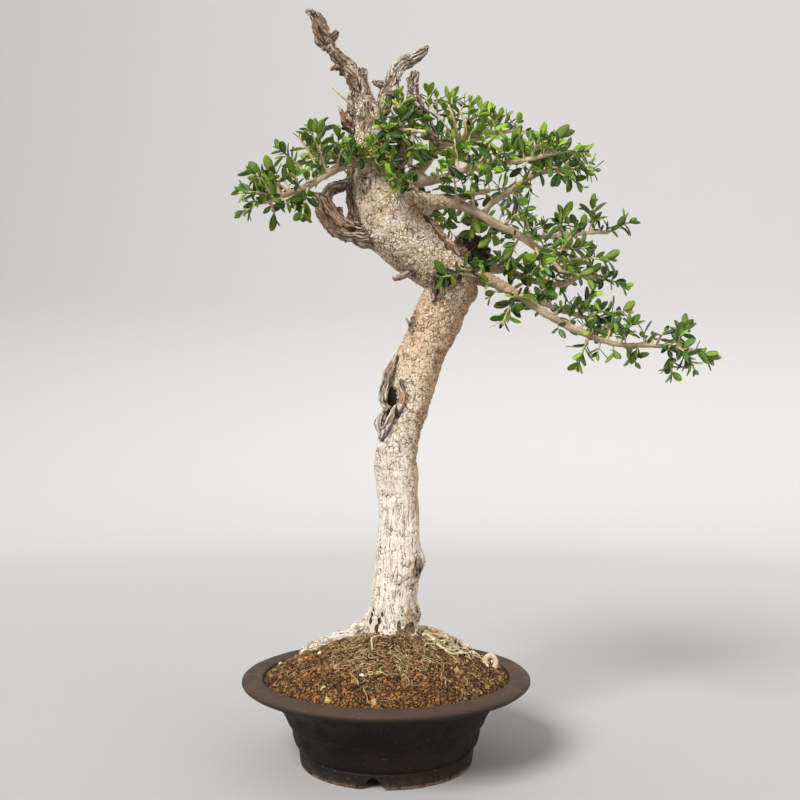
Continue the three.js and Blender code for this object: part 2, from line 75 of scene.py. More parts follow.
DEADWOOD = {
    "tall_snag": [
        [-24, -2, 715, 12.5], [-26, -2, 734, 12], [-33, -3, 757, 10], [-45, -5, 772, 8.5],
        [-55, -7, 782, 6.6], [-62, -8, 792, 5.8], [-68, -9, 800, 7.3], [-74, -10, 812, 7.8],
        [-78, -11, 824, 7.4], [-84, -12, 831, 4.2], [-91, -13, 834, 1.6],
    ],
    "forked_snag": [
        [-8, 0, 716, 9], [-1, 0, 739, 8.5], [6, 2, 758, 7.5], [12, 4, 774, 7.5], [23, 6, 784, 7],
        [34, 8, 790, 5.6], [43, 10, 798, 5], [47, 10, 803, 1.8],
    ],
    "short_snag": [
        [60, 23, 686, 4.6], [55, 18, 697, 4.6], [46, 11, 716, 5.6], [33, 5, 733, 8.2], [30, 2, 750, 6.2],
        [32, 2, 769, 4.6],
    ],
    "tall_snag_knob": [[-66, -9, 799, 6], [-60, -10, 806, 4.2], [-56, -10, 811, 3.4]],
    "tall_snag_bulge": [[-68, -8, 796, 6], [-76, -9, 799, 4.8], [-80, -9, 806, 2.2]],
    "tall_snag_tooth": [[-47, -6, 775, 6], [-57, -8, 771, 3.8], [-63, -9, 768, 1.6]],
    "tall_snag_lump": [[-31, -3, 744, 8], [-39, -6, 741, 4.6], [-42, -7, 734, 2.6]],
    "tall_snag_spur": [[-32, -3, 754, 7], [-28, -6, 763, 6], [-25, -7, 769, 3.6]],
    "forked_snag_knob": [[0, 0, 742, 7], [9, -6, 744, 5], [13, -8, 750, 2.4]],
    "short_snag_knot": [[30, 3, 740, 6], [34, -1, 733, 7], [38, -3, 728, 5.5]],
    "forked_snag_spur": [[3, 1, 752, 6], [-10, -2, 754, 4], [-16, -4, 757, 2]],
    "short_snag_spur": [[31, 2, 750, 5], [23, 0, 762, 2]],
    "broken_spur": [
        [-23, -4, 696, 7], [-39, -8, 700, 7], [-46, -10, 708, 5.5], [-50, -11, 716, 2.8], [-54, -12, 725, 1],
    ],
    "broken_tooth": [[-42, -9, 704, 5], [-46, -11, 714, 2.4], [-44, -11, 721, 1]],
    "left_stub": [
        [-17, 0, 581, 15], [-32, -4, 583, 13], [-47, -6, 587, 12], [-61, -8, 598, 12.5], [-71, -8, 613, 10.5],
        [-79, -6, 623, 7.5],
    ],
    "left_bridge": [[-73, -4, 614, 7], [-64, 2, 634, 7], [-53, 4, 640, 7], [-42, 4, 641, 7]],
    "left_upright": [
        [-33, -3, 592, 11], [-36, -2, 607, 8.5], [-38, 2, 634, 7], [-40, 4, 652, 5.5], [-42, 5, 665, 4],
    ],
    "grey_lump": [[-30, -4, 714, 7], [-38, -8, 723, 6.5], [-41, -9, 732, 3]],
    "rotten_stump": [[75, 22, 556, 16], [89, 30, 564, 17.5], [99, 34, 574, 16], [106, 36, 584, 10]],
    "under_spur": [[38, 0, 544, 7], [24, -6, 537, 4.2], [8, -10, 530, 3.2]],
    "thorn": [[33, 4, 479, 3.5], [26, 0, 481, 2.2], [22, -2, 488, 1]],
}
LIMBS = {
    "left": [
        [-14, -10, 653, 9], [-29, -22, 658, 6], [-44, -32, 653, 5], [-57, -40, 644, 4.6],
        [-69, -47, 635, 4.1], [-84, -53, 623, 3.6], [-100, -58, 615, 3.2], [-118, -62, 607, 2.7],
        [-131, -64, 602, 2.1],
    ],
    "backLeft": [
        [-12, 10, 648, 11.5], [-22, 34, 671, 6.5], [-42, 56, 687, 5], [-65, 74, 695, 3.9],
        [-86, 86, 696, 2.7],
    ],
    "crown": [[-3, 0, 622, 18], [8, -8, 642, 9], [15, -14, 661, 5.5], [16, -18, 679, 4], [16, -20, 695, 2.9]],
    "top": [
        [1, 0, 626, 18], [20, 8, 645, 10], [40, 16, 663, 6.8], [57, 22, 686, 4.8], [79, 30, 697, 3.4],
        [104, 38, 704, 2.8], [131, 46, 713, 2.3], [156, 52, 720, 1.8],
    ],
    "high": [
        [8, -2, 632, 12], [28, -8, 641, 7.8], [55, -20, 639, 4.6], [81, -32, 645, 3.4], [107, -42, 648, 2.8],
        [134, -50, 650, 2.3], [160, -56, 653, 1.9], [181, -60, 657, 1.5],
    ],
    "mid": [
        [6, -2, 605, 22.5], [28, -8, 616, 12.5], [48, -16, 617, 8], [68, -22, 615, 6], [84, -27, 608, 5.5],
        [103, -31, 598, 4.8], [124, -35, 584, 4.5], [143, -38, 574, 4], [160, -42, 561, 3.9],
        [173, -44, 550, 3.5], [183, -46, 541, 2.8], [188, -46, 532, 2.2],
    ],
    "midUp": [
        [106, -31, 598, 3.7], [117, -16, 614, 3.3], [134, 0, 628, 3.3], [151, 14, 643, 3.4],
        [172, 26, 659, 3.7], [188, 34, 665, 3.3], [206, 40, 668, 2.6],
    ],
    "midOut": [
        [141, -37, 575, 3.3], [156, -24, 574, 2.9], [174, -8, 578, 2.8], [194, 6, 582, 2.7],
        [216, 18, 587, 2.5], [240, 28, 591, 2.2], [258, 34, 592, 1.7],
    ],
    "knee": [
        [79, 20, 548, 14], [101, 28, 552, 8], [125, 36, 550, 5], [142, 42, 549, 4.5], [163, 50, 541, 4.1],
        [182, 56, 538, 3.8], [201, 60, 536, 3.6], [216, 62, 538, 3.3], [232, 64, 547, 2.9],
        [250, 66, 545, 2.2], [260, 68, 543, 1.7],
    ],
    "low": [
        [75, 16, 538, 13.5], [95, 14, 537, 9], [110, 6, 533, 7], [124, 0, 526, 5.5], [145, -8, 513, 4.9],
        [171, -16, 494, 4.2], [187, -22, 483, 4], [203, -28, 473, 4.2], [221, -32, 465, 3.7],
        [234, -35, 459, 3], [253, -38, 454, 2.7], [280, -40, 453, 2.6], [304, -42, 451, 2.2],
        [321, -43, 451, 1.6],
    ],
    "lowUp": [
        [142, -7, 514, 3.8], [160, 6, 511, 3.4], [180, 20, 507, 3.2], [203, 32, 501, 3.2], [222, 42, 497, 3],
        [244, 50, 492, 2.4],
    ],
    "back": [
        [15, 20, 610, 18.5], [33, 50, 621, 10.5], [54, 78, 635, 7.5], [79, 98, 647, 5.5], [105, 112, 659, 4],
        [129, 122, 666, 2.8],
    ],
}
TWIGS = {
    "stub": [[-36, -8, 722, 1.6], [-42, -8, 730, 1.1], [-52, -9, 739, 0.9], [-62, -9, 748, 1.2]],
    "straight": [
        [43, -34, 724, 0.6], [55, -32, 709, 0.7], [67, -28, 695, 0.8], [73, 0, 690, 0.9], [79, 28, 691, 1],
    ],
    "spike": [[10, -40, 626, 1.8], [4, -46, 618, 1.6], [-4, -50, 611, 1.4], [-11, -54, 605, 0.9]],
    "spike_foot": [[16, -26, 620, 2.6], [12, -38, 624, 2.3], [7, -48, 630, 1.9], [5, -51, 639, 1.3]],
    "spike_side": [[9, -44, 627, 1.7], [18, -50, 623, 1.5], [30, -55, 622, 1.1]],
    "sawn": [[13, -30, 692, 2.2], [29, -42, 687, 2.2], [43, -47, 684, 2.0]],
    "sawn_foot": [[25, -22, 655, 2.8], [29, -32, 670, 2.4], [29, -39, 687, 2.1]],
    "high_stub": [[101, -43, 652, 2.2], [112, -48, 660, 1.8], [133, -52, 658, 1.6]],
    "high_fork": [[120, -42, 650, 2.2], [146, -46, 652, 1.8], [172, -49, 657, 1.4]],
    "top_twig": [[82, 28, 697, 2.2], [79, 12, 706, 1.8], [75, 2, 718, 1.6], [70, 0, 731, 1.1]],
    "top_fork": [[86, 24, 696, 2.2], [90, 12, 704, 1.8], [88, 6, 716, 1.5], [83, 5, 727, 1.1]],
    "mid_stub": [[128, -30, 584, 2.2], [136, -37, 595, 1.8], [144, -41, 603, 1.6]],
}
ROOTS = {
    "left": [
        [-5, 4, 159, 16], [-21, 8, 142, 12.5], [-41, 10, 132, 10], [-63, 12, 124, 9], [-84, 12, 114, 8],
        [-100, 10, 103, 5.5], [-114, 8, 89, 3.5],
    ],
    "right": [
        [17, 10, 140, 15], [38, 22, 125, 11], [61, 34, 119, 9.5], [84, 42, 110, 7.5], [105, 48, 94, 4.5],
    ],
    "front": [[4, -8, 142, 15], [-2, -24, 124, 10], [-13, -40, 112, 7], [-25, -56, 100, 4]],
    "frontRight": [[17, -5, 144, 15], [28, -20, 126, 10], [41, -36, 112, 6.5], [53, -50, 101, 3.5]],
    "back": [[6, 10, 147, 16], [-1, 34, 129, 10.5], [-13, 56, 118, 7], [-23, 74, 102, 3.5]],
}
# Folds of old wood that stand round the hollow on the trunk's left, and the flap at the knee.
FOLDS = {
    "outer_fold": [
        [11, -5, 446, 2], [6, -8, 434, 4], [1, -9, 424, 5.4], [0, -10, 414, 4.2], [-3, -10, 404, 5.4],
        [-4, -10, 395, 4.6], [0, -11, 387, 3.2],
    ],
    "low_fold": [
        [3, -13, 388, 2.6], [-3, -12, 380, 4], [-7, -10, 370, 5.6], [-6, -8, 361, 4.4], [-5, -7, 353, 2.4],
    ],
    "inner_fold": [
        [15, -17, 417, 2], [18, -18, 407, 3], [19, -18, 398, 3.8], [16, -18, 388, 3.6], [11, -18, 381, 3],
    ],
    "flap": [[11, -20, 388, 3], [6, -19, 378, 3.6], [2, -17, 368, 4], [-2, -14, 359, 3], [-5, -11, 352, 1.8]],
    "dead_flap": [[43, -3, 602, 3], [58, -8, 583, 5], [70, -8, 568, 5.5], [80, -6, 556, 4]],
    "knee_fold": [[50, -8, 540, 3], [51, -12, 522, 3.5], [53, -13, 504, 2.5]],
    "knee_lip": [[60, -13, 536, 3], [61, -15, 522, 3.5], [62, -15, 508, 2.5]],
}
# Burls on the trunk and scars in it, as x, y, z, reach across, reach along, and rise out of the bark.
RELIEF = [
    (38, -2, 217, 11, 11, 7), (34, 0, 158, 11, 8, 6.5), (-14, 6, 320, 12, 14, 2.5),
    (4, -13, 398, 6.5, 15, -14), (11, -20, 380, 3, 12, -6), (57, -13, 522, 2.5, 13, -7),
    (10, -27, 291, 10, 5, -2.5), (-16, -12, 158, 3, 9, -5), (-5, -23, 160, 2.2, 6, -3.5),
    (-8, -21, 151, 3, 7, -5.5), (-11, -19, 160, 4.5, 13, 2.4), (30, -16, 211, 8, 14, 2.6),
    (17, -25, 194, 6, 1.6, -2.5),
]
# Patches on the bark, as x, y, z of the middle and the reach along each axis. The live bark has died
# back (dead), the wood has rotted dark (rot) or lies raw and rusty (orange), the bark is warm (ruddy),
# dark brown, partly painted warm shade (dusky), or bleached, earth sticks to it (soiled), or it has
# broken into broad plates (plated).
PATCHES = {
    "dead": [
        [-3, -9, 402, 8, 11, 32], [-7, -9, 368, 7, 10, 11], [-22, -8, 706, 15, 20, 32],
        [-4, -16, 694, 5, 9, 18], [29, -3, 487, 6, 15, 30], [-54, -4, 600, 40, 30, 30],
        [-23, -24, 632, 9, 14, 15], [47, -5, 598, 8, 9, 8], [59, -9, 583, 8, 9, 8], [70, -9, 568, 8, 9, 9],
        [33, -10, 211, 9, 14, 15], [35, -6, 159, 7, 14, 10],
    ],
    "rot": [
        [6, -2, 398, 7, 13, 16], [-50, -13, 702, 7, 7, 5], [-14.4, -13, 164.5, 1.3, 9, 4.5],
        [-16.2, -12, 158.5, 1.9, 10, 5], [-17.8, -11, 152, 2.5, 11, 5.5], [-4.6, -22, 161, 1.4, 9, 4.5],
        [-7.4, -20, 154, 2.1, 9, 5.5], [-10.4, -18, 146, 2.6, 10, 5.5], [38, -12, 206, 3.5, 6, 4],
        [30, -18, 150, 4, 7, 4], [17, -26, 194, 6, 6, 1.0], [11, -21, 380, 2.6, 7, 11],
        [57, -13, 521, 2.5, 8, 13], [-38, -17, 585, 7, 8, 4.5], [102, 30, 574, 20, 26, 22],
    ],
    "orange": [
        [18, -22, 397, 4, 5, 9], [7, -22, 372, 4, 5, 6], [36, -5, 490, 4, 9, 8], [-3, -25, 178, 2.4, 5, 5],
        [-46, -14, 711, 3, 5, 5], [40, -10, 214, 2.5, 6, 4], [-85, -12, 817, 4, 6, 6],
        [-66, -13, 812, 3, 5, 6],
    ],
    "ruddy": [
        [-50, -11, 713, 16, 12, 14], [-56, -5, 602, 34, 28, 28], [48, -5, 598, 12, 12, 12],
        [60, -9, 582, 12, 12, 12], [72, -8, 566, 12, 12, 14], [38, -4, 212, 8, 14, 13],
        [36, -6, 160, 9, 14, 11], [-58, -6, 776, 8, 8, 14],
    ],
    "dusky_and_painted_shade": [
        [-77, -10, 812, 17, 12, 26], [-52, -6, 780, 20, 12, 20], [-36, -4, 754, 10, 12, 14],
        [-47, -10, 708, 14, 12, 16], [31, -12, 211, 11, 15, 17], [25, -17, 158, 8, 13, 16],
        # The last three patches are painted warm shade along the under side of the upper trunk.
        [33, -16, 609, 17, 18, 18], [-22, -18, 556, 16, 18, 9], [2, -18, 542, 16, 18, 9],
        [22, -18, 526, 14, 18, 9],
    ],
    "bleached": [
        [12, 3, 775, 14, 12, 20], [28, 7, 788, 10, 10, 8], [-37, -8, 720, 8, 8, 10],
        [38, -26, 571, 17, 14, 10], [8, -32, 592, 14, 14, 9],
    ],
    "soiled": [[26, -18, 146, 9, 12, 8], [18, -23, 142, 11, 10, 6], [14, -26, 150, 2.5, 8, 7]],
    "plated": [[-12, -28, 612, 22, 18, 34], [10, -30, 588, 16, 14, 12], [22, -26, 560, 12, 14, 8]],
}


# ----------------------------------------------------------------------------- curves and sweeps
def curve_points(knots, shares):
    """Places [x, y, z] on the Catmull-Rom curve through the knots, at shares 0 to 1 of its run."""
    knots = np.asarray(knots, float)[:, :3]
    padded = np.vstack([2 * knots[0] - knots[1], knots, 2 * knots[-1] - knots[-2]])
    place = np.atleast_1d(shares) * (len(knots) - 1)
    first = np.clip(np.floor(place).astype(int), 0, len(knots) - 2)
    part = (place - first)[:, None]
    before, start, end, after = (padded[first + step] for step in range(4))
    return (
        (2 * part**3 - 3 * part**2 + 1) * start + (part**3 - 2 * part**2 + part) * ((end - before) / 2)
        + (3 * part**2 - 2 * part**3) * end + (part**3 - part**2) * ((after - start) / 2)
    )


def curve_rings(knots, shares):
    """Places on the curve, and the radius at each."""
    radii = np.asarray(knots, float)[:, 3]
    stops = np.atleast_1d(shares) * (len(radii) - 1)
    return curve_points(knots, shares), np.interp(stops, np.arange(len(radii)), radii)


def curve_length(knots):
    points = curve_points(knots, np.linspace(0, 1, 201))
    return float(np.linalg.norm(np.diff(points, axis=0), axis=1).sum())


def curve_place(knots, share):
    """The place at one share of the curve's run, and the direction it has there."""
    ends = curve_points(knots, [max(share - 1e-4, 0), min(share + 1e-4, 1)])
    return curve_points(knots, share)[0], unit(ends[1] - ends[0])


def unit(vectors):
    vectors = np.asarray(vectors, float)
    return vectors / np.maximum(np.linalg.norm(vectors, axis=-1, keepdims=True), 1e-12)


def steady_axis(knots):
    """The axis that the limb runs along least, which keeps its rings from twisting."""
    run = np.abs(np.asarray(knots[-1][:3], float) - np.asarray(knots[0][:3], float))
    return np.eye(3)[int(np.argmin(run))]


def ring_frames(centres, steady):
    tangents = unit(np.gradient(centres, axis=0))
    side = unit(steady - tangents * (tangents @ steady)[:, None])
    return tangents, side, np.cross(side, tangents)


def ring_turns(sides):
    return np.arange(sides) * 2 * np.pi / sides


def soft_step(value, low, high):
    share = np.clip((value - low) / max(high - low, 1e-6), 0, 1)
    return share * share * (3 - 2 * share)


def grid_faces(rings, sides, rings_close=False, sides_close=True):
    """Four-sided faces between rings of corners."""
    low = np.arange(rings * sides).reshape(rings, sides)
    high = np.roll(low, -1, 0)
    quads = np.stack([low, high, np.roll(high, -1, 1), np.roll(low, -1, 1)], axis=2)
    return quads[:rings - (not rings_close), :sides - (not sides_close)].reshape(-1, 4).tolist()


def tube_faces(rings, sides):
    """The faces of a tube, with one over each end."""
    last = range((rings - 1) * sides, rings * sides)
    return grid_faces(rings, sides) + [list(range(sides)), list(reversed(last))]


class Shape:
    """Corners, faces and values of a piece that is put together from many closed parts."""

    def __init__(self):
        self.points, self.faces, self.values, self.materials = [], [], {}, []
        self.count = 0

    def add(self, points, faces, material=0, **values):
        points = np.asarray(points, float).reshape(-1, 3)
        self.points.append(points)
        self.faces.extend([[corner + self.count for corner in face] for face in faces])
        self.materials.extend([material] * len(faces))
        for name, value in values.items():
            value = np.asarray(value, float)
            size = (len(points), 3) if value.shape[-1:] == (3,) else (len(points),)
            self.values.setdefault(name, []).append(np.broadcast_to(value, size))
        self.count += len(points)


def sweep(centres, radii, sides, steady, dome=0, cap=1.0):
    """A closed tube through the centres. Radii are one for each ring, or one for each corner."""
    centres, radii = np.asarray(centres, float), np.asarray(radii, float)
    radii = np.broadcast_to(radii[:, None] if radii.ndim == 1 else radii, (len(centres), sides))
    tangents, side, other = ring_frames(centres, steady)
    if dome:
        angles = np.linspace(0, np.pi / 2, dome + 1)[1:, None]
        start, end = radii[0].mean(), radii[-1].mean()
        centres = np.vstack([
            (centres[0] - tangents[0] * start * cap * np.sin(angles))[::-1], centres,
            centres[-1] + tangents[-1] * end * cap * np.sin(angles),
        ])
        shrink = np.maximum(np.cos(angles), 0.02)
        radii = np.vstack([(radii[0] * shrink)[::-1], radii, radii[-1] * shrink])
        side, other = (np.pad(axis, ((dome, dome), (0, 0)), "edge") for axis in (side, other))
    turns = ring_turns(sides)
    outward = side[:, None] * np.cos(turns)[:, None] + other[:, None] * np.sin(turns)[:, None]
    points = centres[:, None] + outward * radii[..., None]
    return points.reshape(-1, 3), tube_faces(len(centres), sides), outward.reshape(-1, 3)


# ------------------------------------------------------------------------------ Blender objects
def add_object(name, data):
    made = bpy.data.objects.new(name, data)
    bpy.context.scene.collection.objects.link(made)
    return made


def set_values(mesh, **values):
    """Gives each corner of the mesh numbers or vectors under these names."""
    for name, value in values.items():
        kind, field = ("FLOAT_VECTOR", "vector") if value.ndim == 2 else ("FLOAT", "value")
        layer = mesh.attributes.new(name, kind, "POINT")
        layer.data.foreach_set(field, value.astype(np.float32).ravel())


def make_mesh(name, shape, *materials):
    """A Blender object, in metres in the frame's axes, from a shape in millimetres."""
    mesh = bpy.data.meshes.new(name)
    mesh.from_pydata((np.vstack(shape.points) * MM + POT_AXIS).tolist(), [], shape.faces)
    set_values(mesh, **{name: np.concatenate(parts) for name, parts in shape.values.items()})
    for material in materials:
        mesh.materials.append(material)
    mesh.polygons.foreach_set("material_index", np.array(shape.materials, np.int32))
    mesh.polygons.foreach_set("use_smooth", np.full(len(mesh.polygons), True))
    mesh.update()
    return add_object(name, mesh)


def settle(piece):
    """Applies the piece's modifiers to its mesh."""
    bpy.context.view_layer.update()
    graph = bpy.context.evaluated_depsgraph_get()
    mesh = bpy.data.meshes.new_from_object(
        piece.evaluated_get(graph), preserve_all_data_layers=True, depsgraph=graph
    )
    piece.modifiers.clear()
    piece.data = mesh


def declare(piece, slot, *nodes):
    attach(piece, "root")
    if nodes:
        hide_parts(*nodes)


# ---------------------------------------------------------------------------------- node graphs
class Value:
    """A node's output. Arithmetic on it adds the nodes that work it out."""

    def __init__(self, graph, socket):
        self.graph, self.socket = graph, socket

    def __add__(self, other):
        return self.graph.math("ADD", self, other)

    def __sub__(self, other):
        return self.graph.math("SUBTRACT", self, other)

    def __mul__(self, other):
        return self.graph.math("MULTIPLY", self, other)


class Graph:
    """Adds nodes to a shader tree or a geometry tree, and returns their outputs."""

    def __init__(self, tree):
        self.tree = tree

    def feed(self, socket, value):
        if isinstance(value, Value):
            self.tree.links.new(value.socket, socket)
        else:
            socket.default_value = value

    def out(self, kind, inputs=None, output=0, **settings):
        """One output of a new node, as a value."""
        made = self.tree.nodes.new(kind)
        for name, value in settings.items():
            setattr(made, name, value)
        for key, value in (inputs or {}).items():
            self.feed(made.inputs[key], value)
        return Value(self, made.outputs[output]) if made.outputs else None

    def read(self, name, vector=False):
        """The value that the mesh has under this name."""
        if self.tree.type == "SHADER":
            return self.out("ShaderNodeAttribute", None, "Vector" if vector else "Fac", attribute_name=name)
        kind = "FLOAT_VECTOR" if vector else "FLOAT"
        return self.out("GeometryNodeInputNamedAttribute", {"Name": name}, "Attribute", data_type=kind)

    def place(self):
        """The place on the piece, in metres."""
        if self.tree.type == "SHADER":
            return self.out("ShaderNodeTexCoord", None, "Object")
        return self.out("GeometryNodeInputPosition")

    def math(self, operation, *values):
        return self.out("ShaderNodeMath", dict(enumerate(values)), operation=operation)

    def most(self, *values):
        return self.math("MAXIMUM", *values)

    def away(self, value, middle):
        return self.math("ABSOLUTE", value - middle)

    def vectors(self, operation, *values, **named):
        inputs = {**dict(enumerate(values)), **named}
        return self.out("ShaderNodeVectorMath", inputs, operation=operation)

    def axis(self, vector, index):
        return self.out("ShaderNodeSeparateXYZ", {0: vector}, index)

    def scaled(self, vector, size):
        """The vector in cells of the given size, one number or one for each axis."""
        size = (size,) * 3 if isinstance(size, (int, float)) else size
        return self.vectors("MULTIPLY", vector, tuple(1 / part for part in size))

    def noise(self, vector, size, detail=2.0, roughness=0.5, output=0):
        inputs = {"Vector": self.scaled(vector, size), "Scale": 1, "Detail": detail, "Roughness": roughness}
        return self.out("ShaderNodeTexNoise", inputs, output, noise_dimensions="3D")

    def wobble(self, vector, size, reach):
        """The vector, pushed about by noise by up to the reach."""
        centred = self.vectors("SUBTRACT", self.noise(vector, size, output="Color"), (0.5,) * 3)
        return self.vectors("ADD", vector, self.vectors("SCALE", centred, Scale=2 * reach))

    def cells(self, vector, size):
        """How far inside its cell a place lies, and a number of the cell's own."""
        inputs = {"Vector": self.scaled(vector, size), "Scale": 1}
        own = self.out("ShaderNodeTexVoronoi", inputs, "Color", feature="F1")
        edge = self.out("ShaderNodeTexVoronoi", inputs, "Distance", feature="DISTANCE_TO_EDGE")
        return edge, self.axis(own, 0)

    def ramp(self, value, low, high, to_low=0.0, to_high=1.0):
        inputs = {"Value": value, "From Min": low, "From Max": high, "To Min": to_low, "To Max": to_high}
        return self.out("ShaderNodeMapRange", inputs, interpolation_type="SMOOTHSTEP")

    def ragged(self, mask, noise, reach=1.1):
        """The mask with a hard edge that follows the noise."""
        return self.ramp(self.math("MULTIPLY_ADD", noise - 0.5, reach, mask), 0.42, 0.58)

    def mix(self, share, first, second):
        return self.out("ShaderNodeMix", {0: share, 2: first, 3: second}, data_type="FLOAT")

    def tint(self, share, first, second):
        first, second = (rgb(part) if isinstance(part, tuple) else part for part in (first, second))
        return self.out("ShaderNodeMix", {0: share, 6: first, 7: second}, 2, data_type="RGBA")

    def over(self, colour, *layers):
        """The colour with each (share, colour) laid over it in turn."""
        for share, layer in layers:
            colour = self.tint(share, colour, layer)
        return colour


def rgb(colour):
    """A colour given as the screen shows it, 0 to 255, turned into light."""
    shares = [part / 255 for part in colour]
    linear = [part / 12.92 if part <= 0.04045 else ((part + 0.055) / 1.055) ** 2.4 for part in shares]
    return (*linear, 1.0)


def make_material(name, paint, roughness, gloss=0.5):
    """A material. paint(graph) gives the shader's inputs, and a bump's height and its millimetres."""
    material = bpy.data.materials.new(name)
    material.use_nodes = True
    graph, surface = Graph(material.node_tree), material.node_tree.nodes["Principled BSDF"]
    surface.inputs["Roughness"].default_value = roughness
    surface.inputs["Specular IOR Level"].default_value = gloss
    inputs, height, reach = paint(graph)
    for socket, value in inputs.items():
        graph.feed(surface.inputs[socket], value)
    if height:
        bump = {"Height": height, "Distance": reach * MM, "Strength": 1.0}
        graph.feed(surface.inputs["Normal"], graph.out("ShaderNodeBump", bump))
    return material


def displace(piece, height_of):
    """Moves the surface out by height_of(graph) millimetres, and applies it to the mesh."""
    tree = bpy.data.node_groups.new(piece.name + "_relief", "GeometryNodeTree")
    for way in ("INPUT", "OUTPUT"):
        tree.interface.new_socket("Geometry", in_out=way, socket_type="NodeSocketGeometry")
    g = Graph(tree)
    offset = g.vectors("SCALE", g.out("GeometryNodeInputNormal"), Scale=height_of(g) * MM)
    moved = g.out("GeometryNodeSetPosition", {"Geometry": g.out("NodeGroupInput"), "Offset": offset})
    g.out("NodeGroupOutput", {0: moved})
    piece.modifiers.new("relief", "NODES").node_group = tree
    settle(piece)


# ---------------------------------------------------------------------------------------- bark
def bark_pattern(g):
    """Fissures, scales and dead grain. Scales are cut from the solid, the rest runs along each limb."""
    raw, solid = g.read("bark_co", True), g.read("solid_co", True)
    pale, fine = g.read("pale"), g.read("fine")
    low = g.ramp(g.axis(solid, 2), 250, 345, 1, 0)
    ribbon = g.noise(g.wobble(raw, 5, 1.4), (3.7, 3.7, 54), 2, 0.55)
    long_plate = g.ramp(g.away(ribbon, 0.5), 0.004, 0.027)
    jagged = g.wobble(g.wobble(solid, 9, 2.4), 2.3, 1.3)
    block_edge, block_tone = g.cells(jagged, (5.8, 5.8, 7.2))
    scale_edge, scale_tone = g.cells(jagged, (3.0, 3.0, 3.6))
    patchy = g.noise(solid, 11)
    closed = g.ramp(g.noise(solid, 3.6, 1), g.ramp(patchy, 0.3, 0.7, 0.62, 0.46), 0.66)
    block_plate = g.most(g.ramp(block_edge, 0, g.ramp(patchy, 0.3, 0.7, 0.13, 0.04)), closed)
    hidden = g.most(g.ramp(patchy, 0.42, 0.6) * g.ramp(fine, 0, 1, 0.75, 0.35), low * 0.75)
    banded = long_plate * g.most(block_plate, g.ramp(patchy, 0.38, 0.5))
    grain_place = g.wobble(raw, 18, 4)
    ridge = g.away(g.noise(grain_place, (6, 6, 70), 2, 0.55), 0.5)
    thin = g.noise(grain_place, (2.6, 2.6, 32), 2, 0.55)
    return SimpleNamespace(
        raw=raw, solid=solid, pale=pale, fine=fine, grain=thin,
        dead=g.ragged(g.read("dead"), g.noise(solid, 5, 3, 0.6)),
        deep=g.mix(low, block_plate, banded),
        scale=g.most(g.ramp(scale_edge, 0, 0.14), g.most(hidden, closed * 0.6)),
        tone=g.mix(g.ramp(fine, 0, 1, 0.4, 0.75), block_tone, scale_tone),
        broad=g.noise(solid, (26, 26, 40)),
        fissure=g.ramp(ridge, 0, 0.05) * g.ramp(g.away(thin, 0.46), 0, 0.035, 0.35, 1),
        lumps=g.noise(raw, (12, 12, 15), 3, 0.6),
        grit=g.noise(solid, 1.6, 3, 0.65),
    )


def bark_height(g):
    """Millimetres that the bark stands out from the smooth limb."""
    bark = bark_pattern(g)
    live = g.ramp(bark.deep, 0, 1, -0.75, 0.2) + g.ramp(bark.scale, 0, 1, -0.3, 0)
    live = live + g.ramp(bark.tone, 0, 1, -0.35, 0.45) + g.ramp(bark.broad, 0.3, 0.7, -1.5, 1.5)
    live = live + g.read("brown_and_painted_shade") * g.ramp(bark.tone, 0, 1, -0.7, 0.9)
    dead = g.ramp(bark.fissure, 0, 1, -1.8, 0.3) + g.ramp(bark.lumps, 0.3, 0.7, -1.9, 2.2)
    height = g.mix(bark.dead, live, dead * g.read("girth"))
    knobs = g.ramp(g.noise(bark.solid, (15, 15, 11), 4, 0.62), 0.3, 0.7, -3, 3.4)
    height = g.math("MULTIPLY_ADD", knobs, g.read("rugged"), height)
    return height + g.ramp(bark.grit, 0.2, 0.8, -0.3, 0.3)


